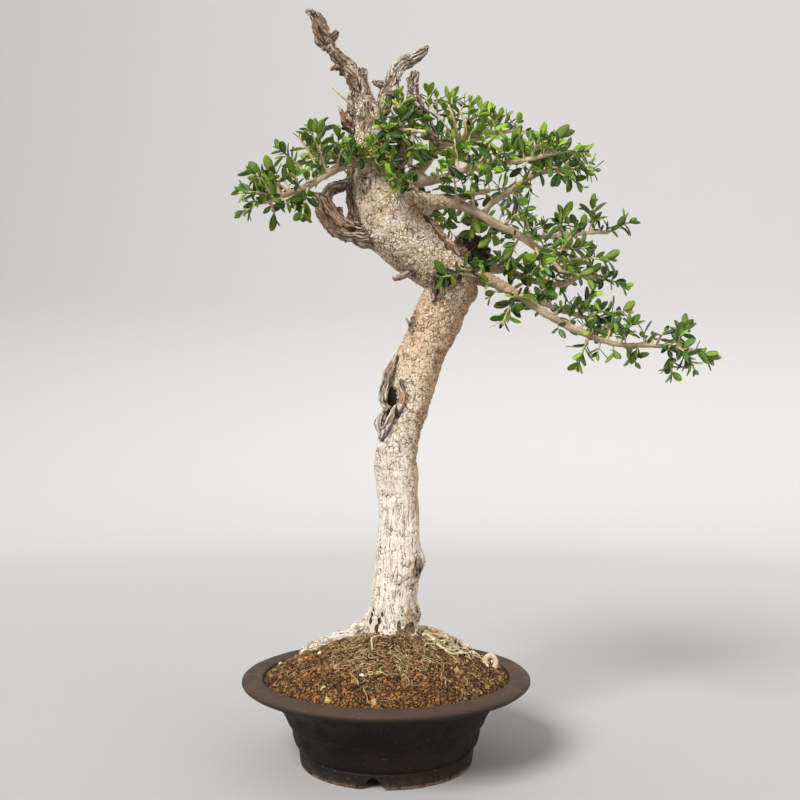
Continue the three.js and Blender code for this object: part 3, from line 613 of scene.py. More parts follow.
def paint_bark(g):
    bark = bark_pattern(g)
    raw, solid, pale, fine, tone, grit = bark.raw, bark.solid, bark.pale, bark.fine, bark.tone, bark.grit
    # The brown tint is partly the bark's own brown and partly painted warm shade.
    brown_and_painted_shade = g.read("brown_and_painted_shade")
    middle = g.tint(tone, (214, 192, 160), (243, 229, 204))
    base = g.tint(tone, (230, 217, 200), (248, 241, 230))
    upper = g.tint(tone, (230, 209, 180), (252, 242, 224))
    stain = g.ramp(g.noise(solid, (18, 18, 28), 4, 0.7), 0.45, 0.66) * g.ramp(pale, 0, 1, 0.28, 0.16)
    plate = g.over(
        g.tint(fine, g.tint(pale, middle, base), upper), (stain, (184, 150, 114)),
        (g.ramp(g.noise(solid, (7, 7, 11), 4, 0.7), 0.5, 0.7) * 0.5, (250, 243, 231)),
        (pale * fine * 0.6, (252, 241, 224)), (brown_and_painted_shade * 0.6, (190, 144, 96)),
        (g.ramp(grit, 0.35, 0.58, 0.32, 0), (156, 122, 86)),
    )
    shallow = g.tint(fine * 0.6, g.tint(pale, (174, 140, 102), (204, 182, 152)), (134, 100, 66))
    sharp = g.tint(pale, (94, 66, 40), (110, 86, 62))
    faint = g.ramp(g.noise(solid, 8, 3, 0.6), 0.42, 0.6)
    crack = g.tint(faint, sharp, g.tint(pale, (138, 104, 68), (152, 128, 98)))
    live = g.tint(g.ramp(bark.deep, 0, 0.7), crack, g.tint(g.ramp(bark.scale, 0, 0.8), shallow, plate))
    slender = g.ramp(g.read("girth"), 0.7, 0.98, 0.75, 0) * g.math("SUBTRACT", 1.0, pale)
    earth = g.read("rugged") * g.ramp(g.noise(solid, 9, 4, 0.7), 0.5, 0.58, 0, 0.8)
    live = g.over(live, (slender, (182, 154, 122)), (earth, (150, 120, 84)))
    grained = g.ramp(bark.grain, 0.35, 0.65)
    weathered = g.over(
        g.tint(grained, (146, 120, 97), (222, 207, 188)),
        (g.ramp(grit, 0.4, 0.6, 0.4, 0), (128, 102, 78)),
        (pale, g.tint(grained, (176, 162, 146), (240, 232, 221))),
        (g.read("ruddy") * 0.65, (206, 162, 130)), (brown_and_painted_shade * 0.7, (132, 102, 78)),
        (g.ramp(g.noise(solid, (9, 9, 16), 3, 0.6), 0.56, 0.68) * 0.5, (144, 98, 62)),
    )
    dirt = g.ragged(g.read("dirt"), g.noise(solid, 3.4, 3, 0.65))
    rot = g.ragged(g.read("rot"), g.noise(solid, 3.2, 3, 0.6), 1.8)
    orange = g.ragged(g.read("orange"), g.noise(raw, (2.4, 2.4, 7), 3, 0.65), 2.6)
    orange = orange * g.ramp(bark.fissure, 0.2, 0.7, 0.1, 0.9)
    colour = g.over(
        g.tint(bark.dead, live, g.tint(bark.fissure, (60, 44, 34), weathered)),
        (dirt * 0.92, g.tint(g.ramp(grit, 0.35, 0.65), (62, 42, 25), (138, 102, 62))),
        (rot, g.tint(bark.fissure, (20, 14, 11), (78, 62, 50))),
        (orange, g.tint(bark.grain, (138, 92, 56), (220, 178, 128))),
    )
    relief = grit * 0.6 + g.mix(bark.dead, bark.deep * bark.scale, bark.fissure) * 0.6 + tone * 0.35
    return {"Base Color": colour}, relief, 1.1


def patches(points, kind):
    """0 to 1 over the points, 1 near any of the patches of the kind."""
    rows = np.array(PATCHES[kind], float)
    shares = [np.exp(-(((points - row[:3]) / row[3:]) ** 2).sum(1)) for row in rows]
    return soft_step(np.max(shares, axis=0), 0.35, 0.7)


def zone_values(points, dead, girth):
    """How dead, fine, pale and so on the bark is at each of the points."""
    x, depth, height = points.T
    lower = curve_points(TRUNK["lower"], np.linspace(0, 1, 200))
    middle = np.interp(height, lower[:, 2], lower[:, 0])
    rightward = soft_step((x - middle) / 26 + 0.25 * depth / 26, 0.0, 0.9)
    # Painted shade: a warm brown tint on the trunk's right side, where shade falls.
    shaded = rightward * (0.4 + 0.6 * soft_step(height, 200, 400)) * (1 - soft_step(height, 560, 600))
    belt = 0.55 * soft_step(height, 400, 470) * (1 - soft_step(height, 540, 570))
    right_scales = 0.55 * rightward * soft_step(height, 250, 350) * (1 - soft_step(height, 540, 560))
    buried = soil_height(x, depth) - height
    return {
        "dead": np.maximum(dead, patches(points, "dead")),
        "fine": np.maximum(soft_step(height, 430, 530) * (1 - 0.8 * patches(points, "plated")), right_scales),
        "pale": np.maximum(
            1 - soft_step(height + 80 * (rightward - 0.5), 240, 440), patches(points, "bleached")
        ),
        "rot": patches(points, "rot"),
        "orange": patches(points, "orange"),
        # The brown tint: the bark's own brown in the belt and most dusky patches, and painted warm shade on
        # the right side and under the upper trunk.
        "brown_and_painted_shade": np.maximum(np.maximum(shaded, belt), patches(points, "dusky_and_painted_shade")),
        "rugged": (1 - soft_step(height, 140, 168)) * soft_step(np.hypot(x - 7, depth), 24, 38),
        "dirt": np.maximum(soft_step(buried, -10, 1), patches(points, "soiled")),
        "ruddy": patches(points, "ruddy"),
        "girth": np.clip(girth / 10, 0.25, 1.0),
    }


# ---------------------------------------------------------------------------------------- wood
COLLAR_RADIUS = 5.5
# How many splinters each piece of dead wood has.
SPLINTERS = {"tall_snag": 26, "forked_snag": 14, "short_snag": 9, "rotten_stump": 18, "left_stub": 10,
             "broken_spur": 8, "left_bridge": 5}
# Shares of a splinter's run, and of its thickness there.
SPLINTER_TAPER = (0, 1), (0.6, 0.8), (1, 0.35)
# Sides and millimetres between rings of the tubes that are grown together.
TRUNK_TUBE, ROOT_TUBE, LIMB_TUBE = (96, 2.0), (36, 2.5), (36, 2.0)
SNAG_TUBE, FOLD_TUBE, SPLINTER_TUBE = (40, 2.0), (24, 1.5), (8, 2.0)
# Sides and millimetres between rings of the limbs past their collars, which stay as tubes.
BARE_SIDES, BARE_STEP = 16, 1.8
TRUNK_SKIN, SNAG_SKIN, QUICK_VOXELS = (1.62, 3.0), (1.1, 0.5), 1.6
# Apart from the trunk's, each limb's bark starts this far along from the last one's.
BARK_OFFSET, TWIG_OFFSET = 40, 60


def relief_at(points):
    rise = np.zeros(len(points))
    for x, y, z, across, along, height in RELIEF:
        offset = points - np.array([x, y, z])
        spread = (offset[:, 0] ** 2 + offset[:, 1] ** 2) / across**2 + offset[:, 2] ** 2 / along**2
        rise += height * np.exp(-spread)
    return rise


def round_wood(knots, sides, step, carved=False, last=1.0):
    """One limb of the skeleton as a closed tube with domed ends, up to a last share of its run."""
    shares = np.linspace(0, last, max(4, int(curve_length(knots) * last / step)) + 1)
    rings = curve_rings(knots, shares)
    points, faces, outward = sweep(*rings, sides, steady_axis(knots), dome=4, cap=0.4)
    if carved:
        points = points + outward * relief_at(points)[:, None]
    return points, faces


def collar_share(knots):
    """The share of a limb's run where it has thinned to the collar's radius."""
    thin = next((index for index, knot in enumerate(knots) if knot[3] < COLLAR_RADIUS), 1)
    return max(thin, 1) / (len(knots) - 1)


def splinters():
    """Knots of short ragged points that stand out of the dead wood."""
    rng = np.random.default_rng(SEEDS.splinters)
    for name, count in SPLINTERS.items():
        for _ in range(count):
            share = rng.uniform(0.25, 1.0)
            centre, tangent = curve_place(DEADWOOD[name], share)
            radius = curve_rings(DEADWOOD[name], share)[1][0]
            outward = unit(np.cross(tangent, unit(rng.normal(size=3))))
            lean = unit(outward + tangent * rng.uniform(0.4, 1.8))
            foot = centre + outward * radius * 0.55
            reach = rng.uniform(0.45, 1.0) * radius + 1.5
            thick = rng.uniform(0.2, 0.42) * radius + 0.6
            yield [[*(foot + lean * reach * run), thick * part] for run, part in SPLINTER_TAPER]


def live_parts():
    """The tubes that are grown together into the trunk, as (knots, sides, step, carved, last)."""
    yield from ((knots, *TRUNK_TUBE, True) for knots in TRUNK.values())
    yield from ((knots, *ROOT_TUBE) for knots in ROOTS.values())
    for knots in LIMBS.values():
        if knots[0][3] > COLLAR_RADIUS:
            yield knots, *LIMB_TUBE, False, collar_share(knots)


def dead_parts():
    yield from ((knots, *SNAG_TUBE) for knots in DEADWOOD.values())
    yield from ((knots, *FOLD_TUBE) for knots in FOLDS.values())
    yield from ((knots, *SPLINTER_TUBE) for knots in splinters())


def centre_samples():
    """Samples every 2 mm along all the wood's centre lines, each with its frame and kind."""
    count = 0
    for group, dead in ((TRUNK, 0), (ROOTS, 0), (LIMBS, 0), (DEADWOOD, 1), (FOLDS, 1)):
        for knots in group.values():
            centres, radii = curve_rings(knots, np.linspace(0, 1, max(3, int(curve_length(knots) / 2))))
            steps = np.linalg.norm(np.diff(centres, axis=0), axis=1)
            start = centres[0][2] if group is TRUNK else BARK_OFFSET * count
            run = np.concatenate([[0], np.cumsum(steps)]) + start
            yield centres, radii, run, ring_frames(centres, steady_axis(knots)), dead
            count += 1


def bark_values(points, blend_over):
    """Coordinates round and along the nearest limbs, how dead they are, and their radius, blended."""
    fields, nearest = [], np.full(len(points), np.inf)
    for centres, radii, run, (tangents, side, other), dead in centre_samples():
        low = (centres - radii[:, None]).min(0) - 12
        high = (centres + radii[:, None]).max(0) + 12
        near = np.flatnonzero(((points > low) & (points < high)).all(1))
        if not len(near):
            continue
        offsets = np.linalg.norm(points[near][:, None] - centres[None], axis=2)
        best = (offsets - radii).argmin(1)
        away = np.abs(offsets[np.arange(len(near)), best] - radii[best])
        apart = points[near] - centres[best]
        round_x, round_y, along = ((apart * axis[best]).sum(1) for axis in (side, other, tangents))
        field = [round_x, round_y, run[best] + along, np.full(len(near), dead), radii[best]]
        fields.append((near, away, np.stack(field, axis=1)))
        nearest[near] = np.minimum(nearest[near], away)
    total, blended = np.zeros(len(points)), np.zeros((len(points), 5))
    for near, away, field in fields:
        weight = np.exp(-(away - nearest[near]) / blend_over)
        total[near] += weight
        blended[near] += field * weight[:, None]
    blended /= np.maximum(total, 1e-9)[:, None]
    return blended[:, :3], blended[:, 3], blended[:, 4]


def build_wood(name, parts, material, voxel, blend_over):
    """Grows the tubes together into one skin, and gives it its bark."""
    shape = Shape()
    for part in parts:
        shape.add(*round_wood(*part))
    piece = make_mesh(name, shape, material)
    remesh = piece.modifiers.new("grow", "REMESH")
    remesh.mode, remesh.use_smooth_shade = "VOXEL", True
    remesh.voxel_size = voxel * 1.0 * MM
    settle(piece)
    corners = np.zeros(len(piece.data.vertices) * 3, np.float32)
    piece.data.vertices.foreach_get("co", corners)
    points = (corners.reshape(-1, 3) - POT_AXIS) / MM
    place, dead, girth = bark_values(points, blend_over)
    set_values(piece.data, bark_co=place, solid_co=points, **zone_values(points, dead, girth))
    displace(piece, bark_height)
    declare(piece, "wood", "wood")


def paint_limbs(g):
    """Young wood: smooth grey-tan bark with fine wrinkles, pale breathing pores and greener twigs."""
    place = g.read("bark_co", True)
    blotches = g.ramp(g.noise(place, (7, 7, 22), 4, 0.6), 0.3, 0.7)
    wrinkles = g.noise(place, (0.9, 0.9, 4.5), 3, 0.6)
    colour = g.over(
        g.tint(blotches, (150, 126, 98), (204, 184, 156)),
        (g.read("young"), g.tint(blotches, (186, 164, 120), (220, 204, 164))),
        (g.ramp(g.noise(place, (1.1, 1.1, 1.8), 1), 0.66, 0.74) * 0.5, (232, 220, 196)),
        (g.ramp(wrinkles, 0.5, 0.75, 0, 0.45), (112, 92, 68)),
    )
    return {"Base Color": colour}, wrinkles, 0.5


def limb_height(g):
    place = g.read("bark_co", True)
    knobs = g.ramp(g.noise(place, (5, 5, 9), 3, 0.6), 0.25, 0.75, -0.45, 0.45)
    return knobs + g.ramp(g.noise(place, (1.6, 1.6, 4)), 0.3, 0.7, -0.18, 0.18)


def build_limbs(material):
    shape, turns = Shape(), ring_turns(BARE_SIDES)
    for knots in (*LIMBS.values(), *TWIGS.values()):
        shares = np.linspace(0, 1, int(curve_length(knots) / BARE_STEP) + 1)
        centres, radii = curve_rings(knots, shares)
        collar = collar_share(knots) if knots[0][3] > COLLAR_RADIUS else 0.0
        radii = radii * (1 - 0.25 * (1 - soft_step(shares, collar * 0.45, collar * 0.95)))
        radii[-1] *= 0.6
        run = shares * curve_length(knots)
        swell = 1 + 0.05 * np.sin(run[:, None] * 0.21 + 2 * turns)
        swell = swell + 0.04 * np.sin(run[:, None] * 0.53 - turns)
        points, faces, _ = sweep(centres, radii[:, None] * swell, BARE_SIDES, steady_axis(knots))
        along = np.tile(run[:, None] + TWIG_OFFSET * len(shape.points), BARE_SIDES)
        place = np.stack([np.outer(radii, np.cos(turns)), np.outer(radii, np.sin(turns)), along], axis=2)
        young = np.repeat(soft_step(-radii, -3.4, -1.8), BARE_SIDES)
        shape.add(points, faces, bark_co=place.reshape(-1, 3), young=young)
    piece = make_mesh("wood_limbs", shape, material)
    displace(piece, limb_height)
    declare(piece, "wood", "wood")


# ----------------------------------------------------------------------------------------- pot
POT = SimpleNamespace(
    segments=384, rim=158.0, height=95.0, lip_width=23.0, foot_outer=94.0, foot_inner=80.0,
    recess=6.0, floor_top=13.0, drain=14.0, notches=3, first_notch=-97.5,
)
# Half widths of a foot notch at heights from the table up: flared below, round at the top.
NOTCH = [[15.5, 0], [12.6, 1.2], [10.6, 3], [9, 5.2], [7.6, 7.4], [5.6, 9.6], [3.2, 11], [0, 11.5]]
# The wall from the foot's edge to the lip's under side, as [radius, height].
OUTER_WALL = [
    [95.8, 14.6], [95.0, 16.0], [95.2, 17.2], [97.4, 19.2], [100.6, 24.5], [102.6, 31], [103.8, 38.5],
    [105.2, 42.4], [108.2, 45.6], [110.6, 51], [114.8, 59], [121.0, 67.4], [129.4, 74.8], [140.0, 80.8],
    [150.0, 84.2], [154.5, 85.2],
]
INNER_WALL = [[84, 13], [92, 24], [98, 47], [112, 68], [128, 85]]


def arc(centre, radius, start, end, steps):
    angles = np.radians(np.linspace(start, end, steps))
    return [[centre[0] + radius * math.cos(angle), centre[1] + radius * math.sin(angle)] for angle in angles]


def pot_profile():
    """The section of the wall, from the drain hole's under edge round the outside to its top edge."""
    rim, top, outer, inner = POT.rim, POT.height, POT.foot_outer, POT.foot_inner
    smooth_wall = curve_points([[r, z, 0] for r, z in OUTER_WALL], np.linspace(0, 1, 64))[:, :2].tolist()
    return np.array([
        [POT.drain, POT.recess],
        *([inner, z] for z in (6, 4.4, 2.8, 1.2)),
        *([inner + share * (outer - inner - 2), 0] for share in (0.1, 0.5, 1)),
        *arc((outer - 1.6, 1.8), 1.8, -70, 0, 4),
        *([outer + 1.8 * z / 14.6, z] for z in (2.2, 4.5, 6.8, 9.0, 11.2, 13.2)),
        *smooth_wall,
        *arc((rim - 3.6, top - 5.2), 3.7, -75, 70, 12),
        [rim - 4.5, top - 0.9], [rim - 8, top - 0.4], [rim - 13, top - 0.6], [rim - 18, top - 1.0],
        *arc((rim - POT.lip_width + 2.5, top - 3.8), 2.5, 95, 190, 6),
        *INNER_WALL[::-1],
        [POT.drain, POT.floor_top],
    ])


def notch_height(arc_distance):
    """How high a notch stands at a distance from its middle, and below the table where there is none."""
    half, heights = np.array(NOTCH[::-1]).T
    return np.where(arc_distance < half[-1], np.interp(arc_distance, half, heights), -1.0)


def pot_height(g):
    broad = g.ramp(g.noise(g.place(), 0.06), 0.3, 0.7, -0.25, 0.25)
    return broad + g.ramp(g.noise(g.place(), 0.004), 0.3, 0.7, -0.06, 0.06)


def build_pot(material):
    radii, heights = pot_profile().T
    angles = ring_turns(POT.segments)
    x, y = np.outer(np.cos(angles), radii), np.outer(np.sin(angles), radii)
    z = np.tile(heights, (POT.segments, 1))
    in_foot = (radii > POT.foot_inner - 0.1) & (heights < 14)
    for index in range(POT.notches):
        middle = math.radians(POT.first_notch + index * 360 / POT.notches)
        apart = np.abs((angles - middle + np.pi) % (2 * np.pi) - np.pi)
        raised = notch_height(apart * POT.foot_outer)[:, None]
        z = np.where(in_foot & (z < raised), raised + 0.02 * z, z)
    edge = np.where(in_foot & (heights < 3), 1.0, 0.0)
    faces = grid_faces(POT.segments, len(radii), rings_close=True)
    shape = Shape()
    shape.add(np.stack([x, y, z], axis=2), faces, edge=np.tile(edge, POT.segments))
    piece = make_mesh("pot_body", shape, material)
    displace(piece, pot_height)
    declare(piece, "pot", "pot")


def paint_pot(g):
    place = g.place()
    height = g.axis(place, 2)
    dusty = g.ramp(height, 0.020, 0) * g.ramp(g.noise(place, 0.012, 4, 0.65), 0.35, 0.7, 0.25, 1)
    worn = g.read("edge") * g.ramp(g.noise(place, 0.006, 3, 0.7), 0.35, 0.6)
    clouds = g.ramp(g.noise(place, (0.05, 0.05, 0.02), 5, 0.6), 0.3, 0.7)
    # The lighter band on the lip's top is painted light, and the body's darker clay is painted shade under
    # the lip; both are one clay.
    colour = g.over(
        g.tint(clouds, (18, 13, 10), (30, 23, 19)), (dusty * 0.55, (80, 65, 55)),
        (g.ramp(height, 0.084, 0.094) * 0.85, (80, 64, 53)), (worn * 0.7, (132, 110, 90)),
        (g.ramp(g.noise(place, 0.0016, 1), 0.72, 0.78) * 0.6, (150, 130, 104)),
        (g.ramp(g.noise(place, 0.009, 4, 0.7), 0.6, 0.78) * 0.25, (34, 28, 25)),
    )
    shine = g.ramp(g.noise(place, 0.02, 4, 0.6), 0.3, 0.7, 0.5, 0.72)
    clay = g.noise(place, (0.3, 0.3, 0.0022)) * 0.5 + g.noise(place, 0.0012, 3, 0.65)
    return {"Base Color": colour, "Roughness": shine}, clay, 0.35


def paint_screen(g):
    colour = g.tint(g.noise(g.place(), 0.003, 3), (26, 28, 32), (40, 43, 48))
    return {"Base Color": colour}, g.noise(g.place(), 0.0008), 0.1


# ---------------------------------------------------------------------------------------- soil
SOIL = SimpleNamespace(level=91.0, rise=40.0, shape=1.2, edge=133.8, rings=80, segments=400)
# Swellings of the bed, as x, y, spread and rise, and its wall in the pot, as [radius, height].
SOIL_LUMPS = [
    (50, 26, 28, 10), (-30, -40, 30, 3), (30, -70, 22, 3), (4, -12, 30, 5), (20, -26, 15, 6), (36, -4, 14, 5),
    (-16, -24, 12, 4), (74, 30, 18, 4),
]
SOIL_WALL = [[133.8, 88], [126, 84], [111, 68], [97.5, 47], [91.5, 24], [83.5, 13.4], [22, 13.4]]
# Loose grit: how many, least and greatest radius, roundness of the ball, colours and how far it sinks.
GRIT = [
    (2300, 0.7, 1.7, 0, [(130, 90, 52), (162, 114, 66), (98, 68, 42), (186, 148, 94), (74, 56, 38)], 0.2),
    (230, 1.8, 3.0, 1, [(142, 94, 54), (116, 78, 46), (166, 120, 72)], 0.35),
    (46, 2.6, 4.2, 1, [(190, 156, 106), (170, 130, 84), (198, 172, 128), (152, 106, 64)], 0.35),
    (9, 2.0, 2.8, 1, [(214, 220, 208), (180, 216, 196), (226, 222, 208)], -0.3),
    (30, 0.8, 1.6, 0, [(96, 190, 90), (70, 160, 84), (120, 200, 110)], -0.5),
]
# Each lump of grit is squashed along each axis, dented at each corner, and lifted off the bed.
LUMP = SimpleNamespace(reach=0.97, squash=(0.5, 1.25), dents=(-0.26, 0.2), lift=1.2)
# Roots over the soil: how many, least and greatest radius and length, how much they wander and lift,
# their colours, and the part of the bed they start in as a centre and a spread.
ROOTLETS = [
    (1300, 0.22, 0.42, 7, 22, 0.46, 1.5, [(176, 146, 98), (146, 114, 70), (196, 174, 128), (118, 88, 54)],
     (0, 0), 140),
    (820, 0.22, 0.46, 7, 24, 0.46, 2.4, [(204, 176, 126), (160, 126, 82), (218, 200, 156), (84, 64, 44)],
     (0, -28), 62),
    (56, 0.5, 1.0, 14, 34, 0.3, 3.0, [(178, 150, 104), (156, 126, 82), (200, 180, 136)], (6, -20), 86),
    (150, 0.5, 1.3, 10, 34, 0.55, 3.4, [(226, 210, 176), (206, 186, 148), (168, 150, 120), (190, 180, 160)],
     (66, 22), 42),
    (16, 1.2, 2.4, 40, 90, 0.16, 3.0, [(224, 206, 172), (200, 178, 140)], (24, 6), 24),
]
# The thick root that loops out of the soil at the right.
LOOP = SimpleNamespace(centre=(115, 104.5), reach=(6, 2, 7), radius=3.1, rings=24, colour=(214, 188, 156))
# Each step of a creeping root, how much of its last turn it keeps, its waves' share of its lift and
# their pace, its thinning, and how far its ends dip into the soil.
CREEP = SimpleNamespace(
    step=2.5, keep=0.75, level=0.6, wave=0.5, pace=0.55, lift=1.0, thin=0.45, first_dip=2.5, last_dip=3,
)


def soil_height(x, y):
    from_axis = np.minimum(1, np.hypot(x, y) / SOIL.edge)
    dome = SOIL.rise * (1 - from_axis**2) ** SOIL.shape
    lumps = sum(
        rise * np.exp(-((x - cx) ** 2 + (y - cy) ** 2) / spread**2) for cx, cy, spread, rise in SOIL_LUMPS
    )
    return SOIL.level + dome + lumps * (1 - from_axis**4)


def crumb_cells(g):
    return g.cells(g.wobble(g.place(), 0.008, 0.0012), 0.0042)


def soil_relief(g):
    broad = g.ramp(g.noise(g.place(), 0.022, 3, 0.6), 0.25, 0.75, -2.6, 2.6)
    edges, tone = crumb_cells(g)
    return (broad + g.ramp(edges, 0, 0.35) * g.ramp(tone, 0, 1, 0.5, 2.4)) * g.read("top")


def build_soil(material):
    radii = SOIL.edge * np.sqrt(np.linspace(0.0006, 1, SOIL.rings))
    wall_radii, wall_heights = np.array(SOIL_WALL).T
    angles = ring_turns(SOIL.segments)
    x, y = (np.outer(np.concatenate([radii, wall_radii]), turn(angles)) for turn in (np.cos, np.sin))
    bed = soil_height(x[:SOIL.rings], y[:SOIL.rings])
    z = np.vstack([bed, np.tile(wall_heights[:, None], SOIL.segments)])
    top = np.zeros(z.shape)
    top[:SOIL.rings] = soft_step(SOIL.edge - radii, 0.0, 4.0)[:, None] * 0.8 + 0.2
    shape = Shape()
    shape.add(np.stack([x, y, z], axis=2), tube_faces(*z.shape), top=top.ravel())
    piece = make_mesh("soil_bed", shape, material)
    displace(piece, soil_relief)
    declare(piece, "soil", "soil")


def paint_soil(g):
    place = g.place()
    edges, tone = crumb_cells(g)
    crumb = g.tint(tone, (92, 62, 36), (164, 116, 68))
    crumb = g.tint(g.ramp(g.noise(place, 0.03, 4, 0.6), 0.45, 0.6) * 0.5, crumb, (56, 40, 26))
    fibre = g.noise(g.wobble(place, 0.006, 0.004), (0.0012, 0.006, 0.004))
    colour = g.over(
        g.tint(g.ramp(edges, 0.02, 0.25), (38, 24, 15), crumb),
        (g.ramp(fibre, 0.62, 0.7) * 0.55, (186, 150, 98)),
        (g.ramp(g.noise(place, 0.0015), 0.64, 0.72) * 0.6, (196, 168, 122)),
    )
    return {"Base Color": colour}, g.noise(place, 0.0012, 3, 0.7), 0.7


def paint_loose(g):
    """Loose grit and roots: the colour comes with each piece, as red, green and blue light."""
    mottle = g.ramp(g.noise(g.place(), 0.0022, 3, 0.65), 0.3, 0.7, 0.62, 1.2)
    colour = g.vectors("SCALE", g.read("own_colour", True), Scale=mottle)
    return {"Base Color": colour}, g.noise(g.place(), 0.0009, 3, 0.65), 0.35


def ball(subdivisions):
    """Corners and faces of a round lump, from a subdivided icosahedron."""
    golden, sides = (1 + math.sqrt(5)) / 2, (-1, 1)
    points = [unit(np.roll([x, y * golden, 0], turn)) for turn in range(3) for x in sides for y in sides]
    points = np.array(points)
    reach = np.linalg.norm(points[0] - points[1:], axis=1).min() * 1.01
    faces = []
    for face in itertools.combinations(range(len(points)), 3):
        a, b, c = points[list(face)]
        if max(np.linalg.norm(a - b), np.linalg.norm(b - c), np.linalg.norm(a - c)) < reach:
            faces.append(face if np.dot(np.cross(b - a, c - a), a) > 0 else face[::-1])
    for _ in range(subdivisions):
        middles, finer, corners = {}, [], list(points)

        def middle(a, b):
            key = (min(a, b), max(a, b))
            if key not in middles:
                middles[key] = len(corners)
                corners.append(unit(corners[a] + corners[b]))
            return middles[key]

        for a, b, c in faces:
            ab, bc, ca = middle(a, b), middle(b, c), middle(c, a)
            finer += [[a, ab, ca], [ab, b, bc], [ca, bc, c], [ab, bc, ca]]
        points, faces = np.array(corners), finer
    return points, faces


def drawn_light(colours, rng, spread=0.2):
    """One of the colours as light, a little brighter or darker."""
    return np.array(rgb(colours[rng.integers(len(colours))])[:3]) * rng.uniform(1 - spread, 1 + spread)


def build_grit(material):
    rng = np.random.default_rng(SEEDS.grit)
    shape = Shape()
    for count, low, high, fineness, colours, sunk in GRIT:
        corners, faces = ball(fineness)
        for _ in range(count):
            away = SOIL.edge * math.sqrt(rng.uniform(0, LUMP.reach**2))
            turn = rng.uniform(0, 2 * math.pi)
            x, y = away * math.cos(turn), away * math.sin(turn)
            radius = rng.uniform(low, high)
            squash = rng.uniform(*LUMP.squash, 3)
            dents = 1 + rng.uniform(*LUMP.dents, len(corners))
            turn = rng.uniform(0, 2 * math.pi)
            lump = corners * dents[:, None] * squash * radius
            turned = np.stack([
                lump[:, 0] * math.cos(turn) - lump[:, 1] * math.sin(turn),
                lump[:, 0] * math.sin(turn) + lump[:, 1] * math.cos(turn), lump[:, 2],
            ], axis=1)
            centre = [x, y, soil_height(x, y) + LUMP.lift - radius * sunk]
            shape.add(turned + centre, faces, own_colour=drawn_light(colours, rng))
    declare(make_mesh("soil_grit", shape, material), "soil")


def wandering_root(rng, start, heading, length, wander, lift):
    """Places of a root that creeps over the soil from a start, turning as it goes."""
    places, x, y = [], *start
    hump = rng.uniform(0, 2 * math.pi)
    turning = 0.0
    for index in range(max(4, int(length / CREEP.step))):
        if math.hypot(x, y) > SOIL.edge - 2:
            break
        rise = lift * (CREEP.level + CREEP.wave * math.sin(hump + index * CREEP.pace))
        places.append([x, y, float(soil_height(x, y)) + CREEP.lift + rise])
        turning = CREEP.keep * turning + rng.normal(0, wander)
        heading += turning
        x, y = x + CREEP.step * math.cos(heading), y + CREEP.step * math.sin(heading)
    if places:
        places[0][2] -= CREEP.first_dip
        places[-1][2] -= CREEP.last_dip
    return places


def build_rootlets(material):
    rng = np.random.default_rng(SEEDS.rootlets)
    shape = Shape()
    for count, low, high, short, long, wander, lift, colours, centre, spread in ROOTLETS:
        for _ in range(count):
            turn, away = rng.uniform(0, 2 * math.pi), spread * math.sqrt(rng.uniform())
            start = (centre[0] + away * math.cos(turn), centre[1] + away * math.sin(turn))
            if math.hypot(*start) > SOIL.edge - 6:
                continue
            outward = math.atan2(start[1], start[0])
            heading = outward + rng.normal(0, 1.0) if high > 1 else rng.uniform(0, 2 * math.pi)
            places = wandering_root(rng, start, heading, rng.uniform(short, long), wander, lift)
            if len(places) < 4:
                continue
            radii = rng.uniform(low, high) * np.linspace(1.0, CREEP.thin, len(places))
            points, faces, _ = sweep(places, radii, 3 if high < 0.5 else 5, UP)
            shape.add(points, faces, own_colour=drawn_light(colours, rng))
    turns = np.linspace(-0.9, 4.0, LOOP.rings)
    loop = np.stack([
        LOOP.centre[0] + LOOP.reach[0] * np.cos(turns), LOOP.reach[1] * np.sin(turns),
        LOOP.centre[1] + LOOP.reach[2] * np.sin(turns),
    ], axis=1)
    points, faces, _ = sweep(loop, np.full(LOOP.rings, LOOP.radius), 8, UP)
    shape.add(points, faces, own_colour=np.array(rgb(LOOP.colour)[:3]))
    declare(make_mesh("soil_rootlets", shape, material), "soil")


# --------------------------------------------------------------------------------- leafy shoots
SHOOT = SimpleNamespace(
    base_radius=1.8, tip_radius=1.2, arch=0.07, bare_length=9.0, bud=2.5, pair_spacing=9.5, pairs=3,
    turn_jitter=0.6,
)
LEAF = SimpleNamespace(
    length=(15.0, 20.0), width_ratio=0.41, lean=(34.0, 62.0), skyward=0.4, thickness=0.32, rib_rise=-0.16,
    rib_fall=-0.30,
)
# Leaves between those of the frame: how far the first pair is from the tip, and the next from it, the
# share of leaves that are there, and their lengths and leans.
FILL = SimpleNamespace(first=7.0, gap=(8.0, 11.0), kept=0.88, length=(13, 23), lean=(38, 78), skyward=0.5)
# The two small leaves that open at each shoot's tip.
BUD = SimpleNamespace(length=(7, 12), lean=(14, 32), skyward=0.1)
# Spurs: how far they stand out of the limb, their radii, the leans of their leaves and how much more
# the second pair leans, the share of its leaves that are missing, and their lengths.
SPUR = SimpleNamespace(
    reach=(3, 13), radii=(1.1, 0.95, 0.75), lean=(18, 50), opening=22, missing=0.4, length=(10, 19),
    skyward=0.35,
)
# How far each leaf's tone strays from its shoot's.
TONE_SPREAD = 0.28
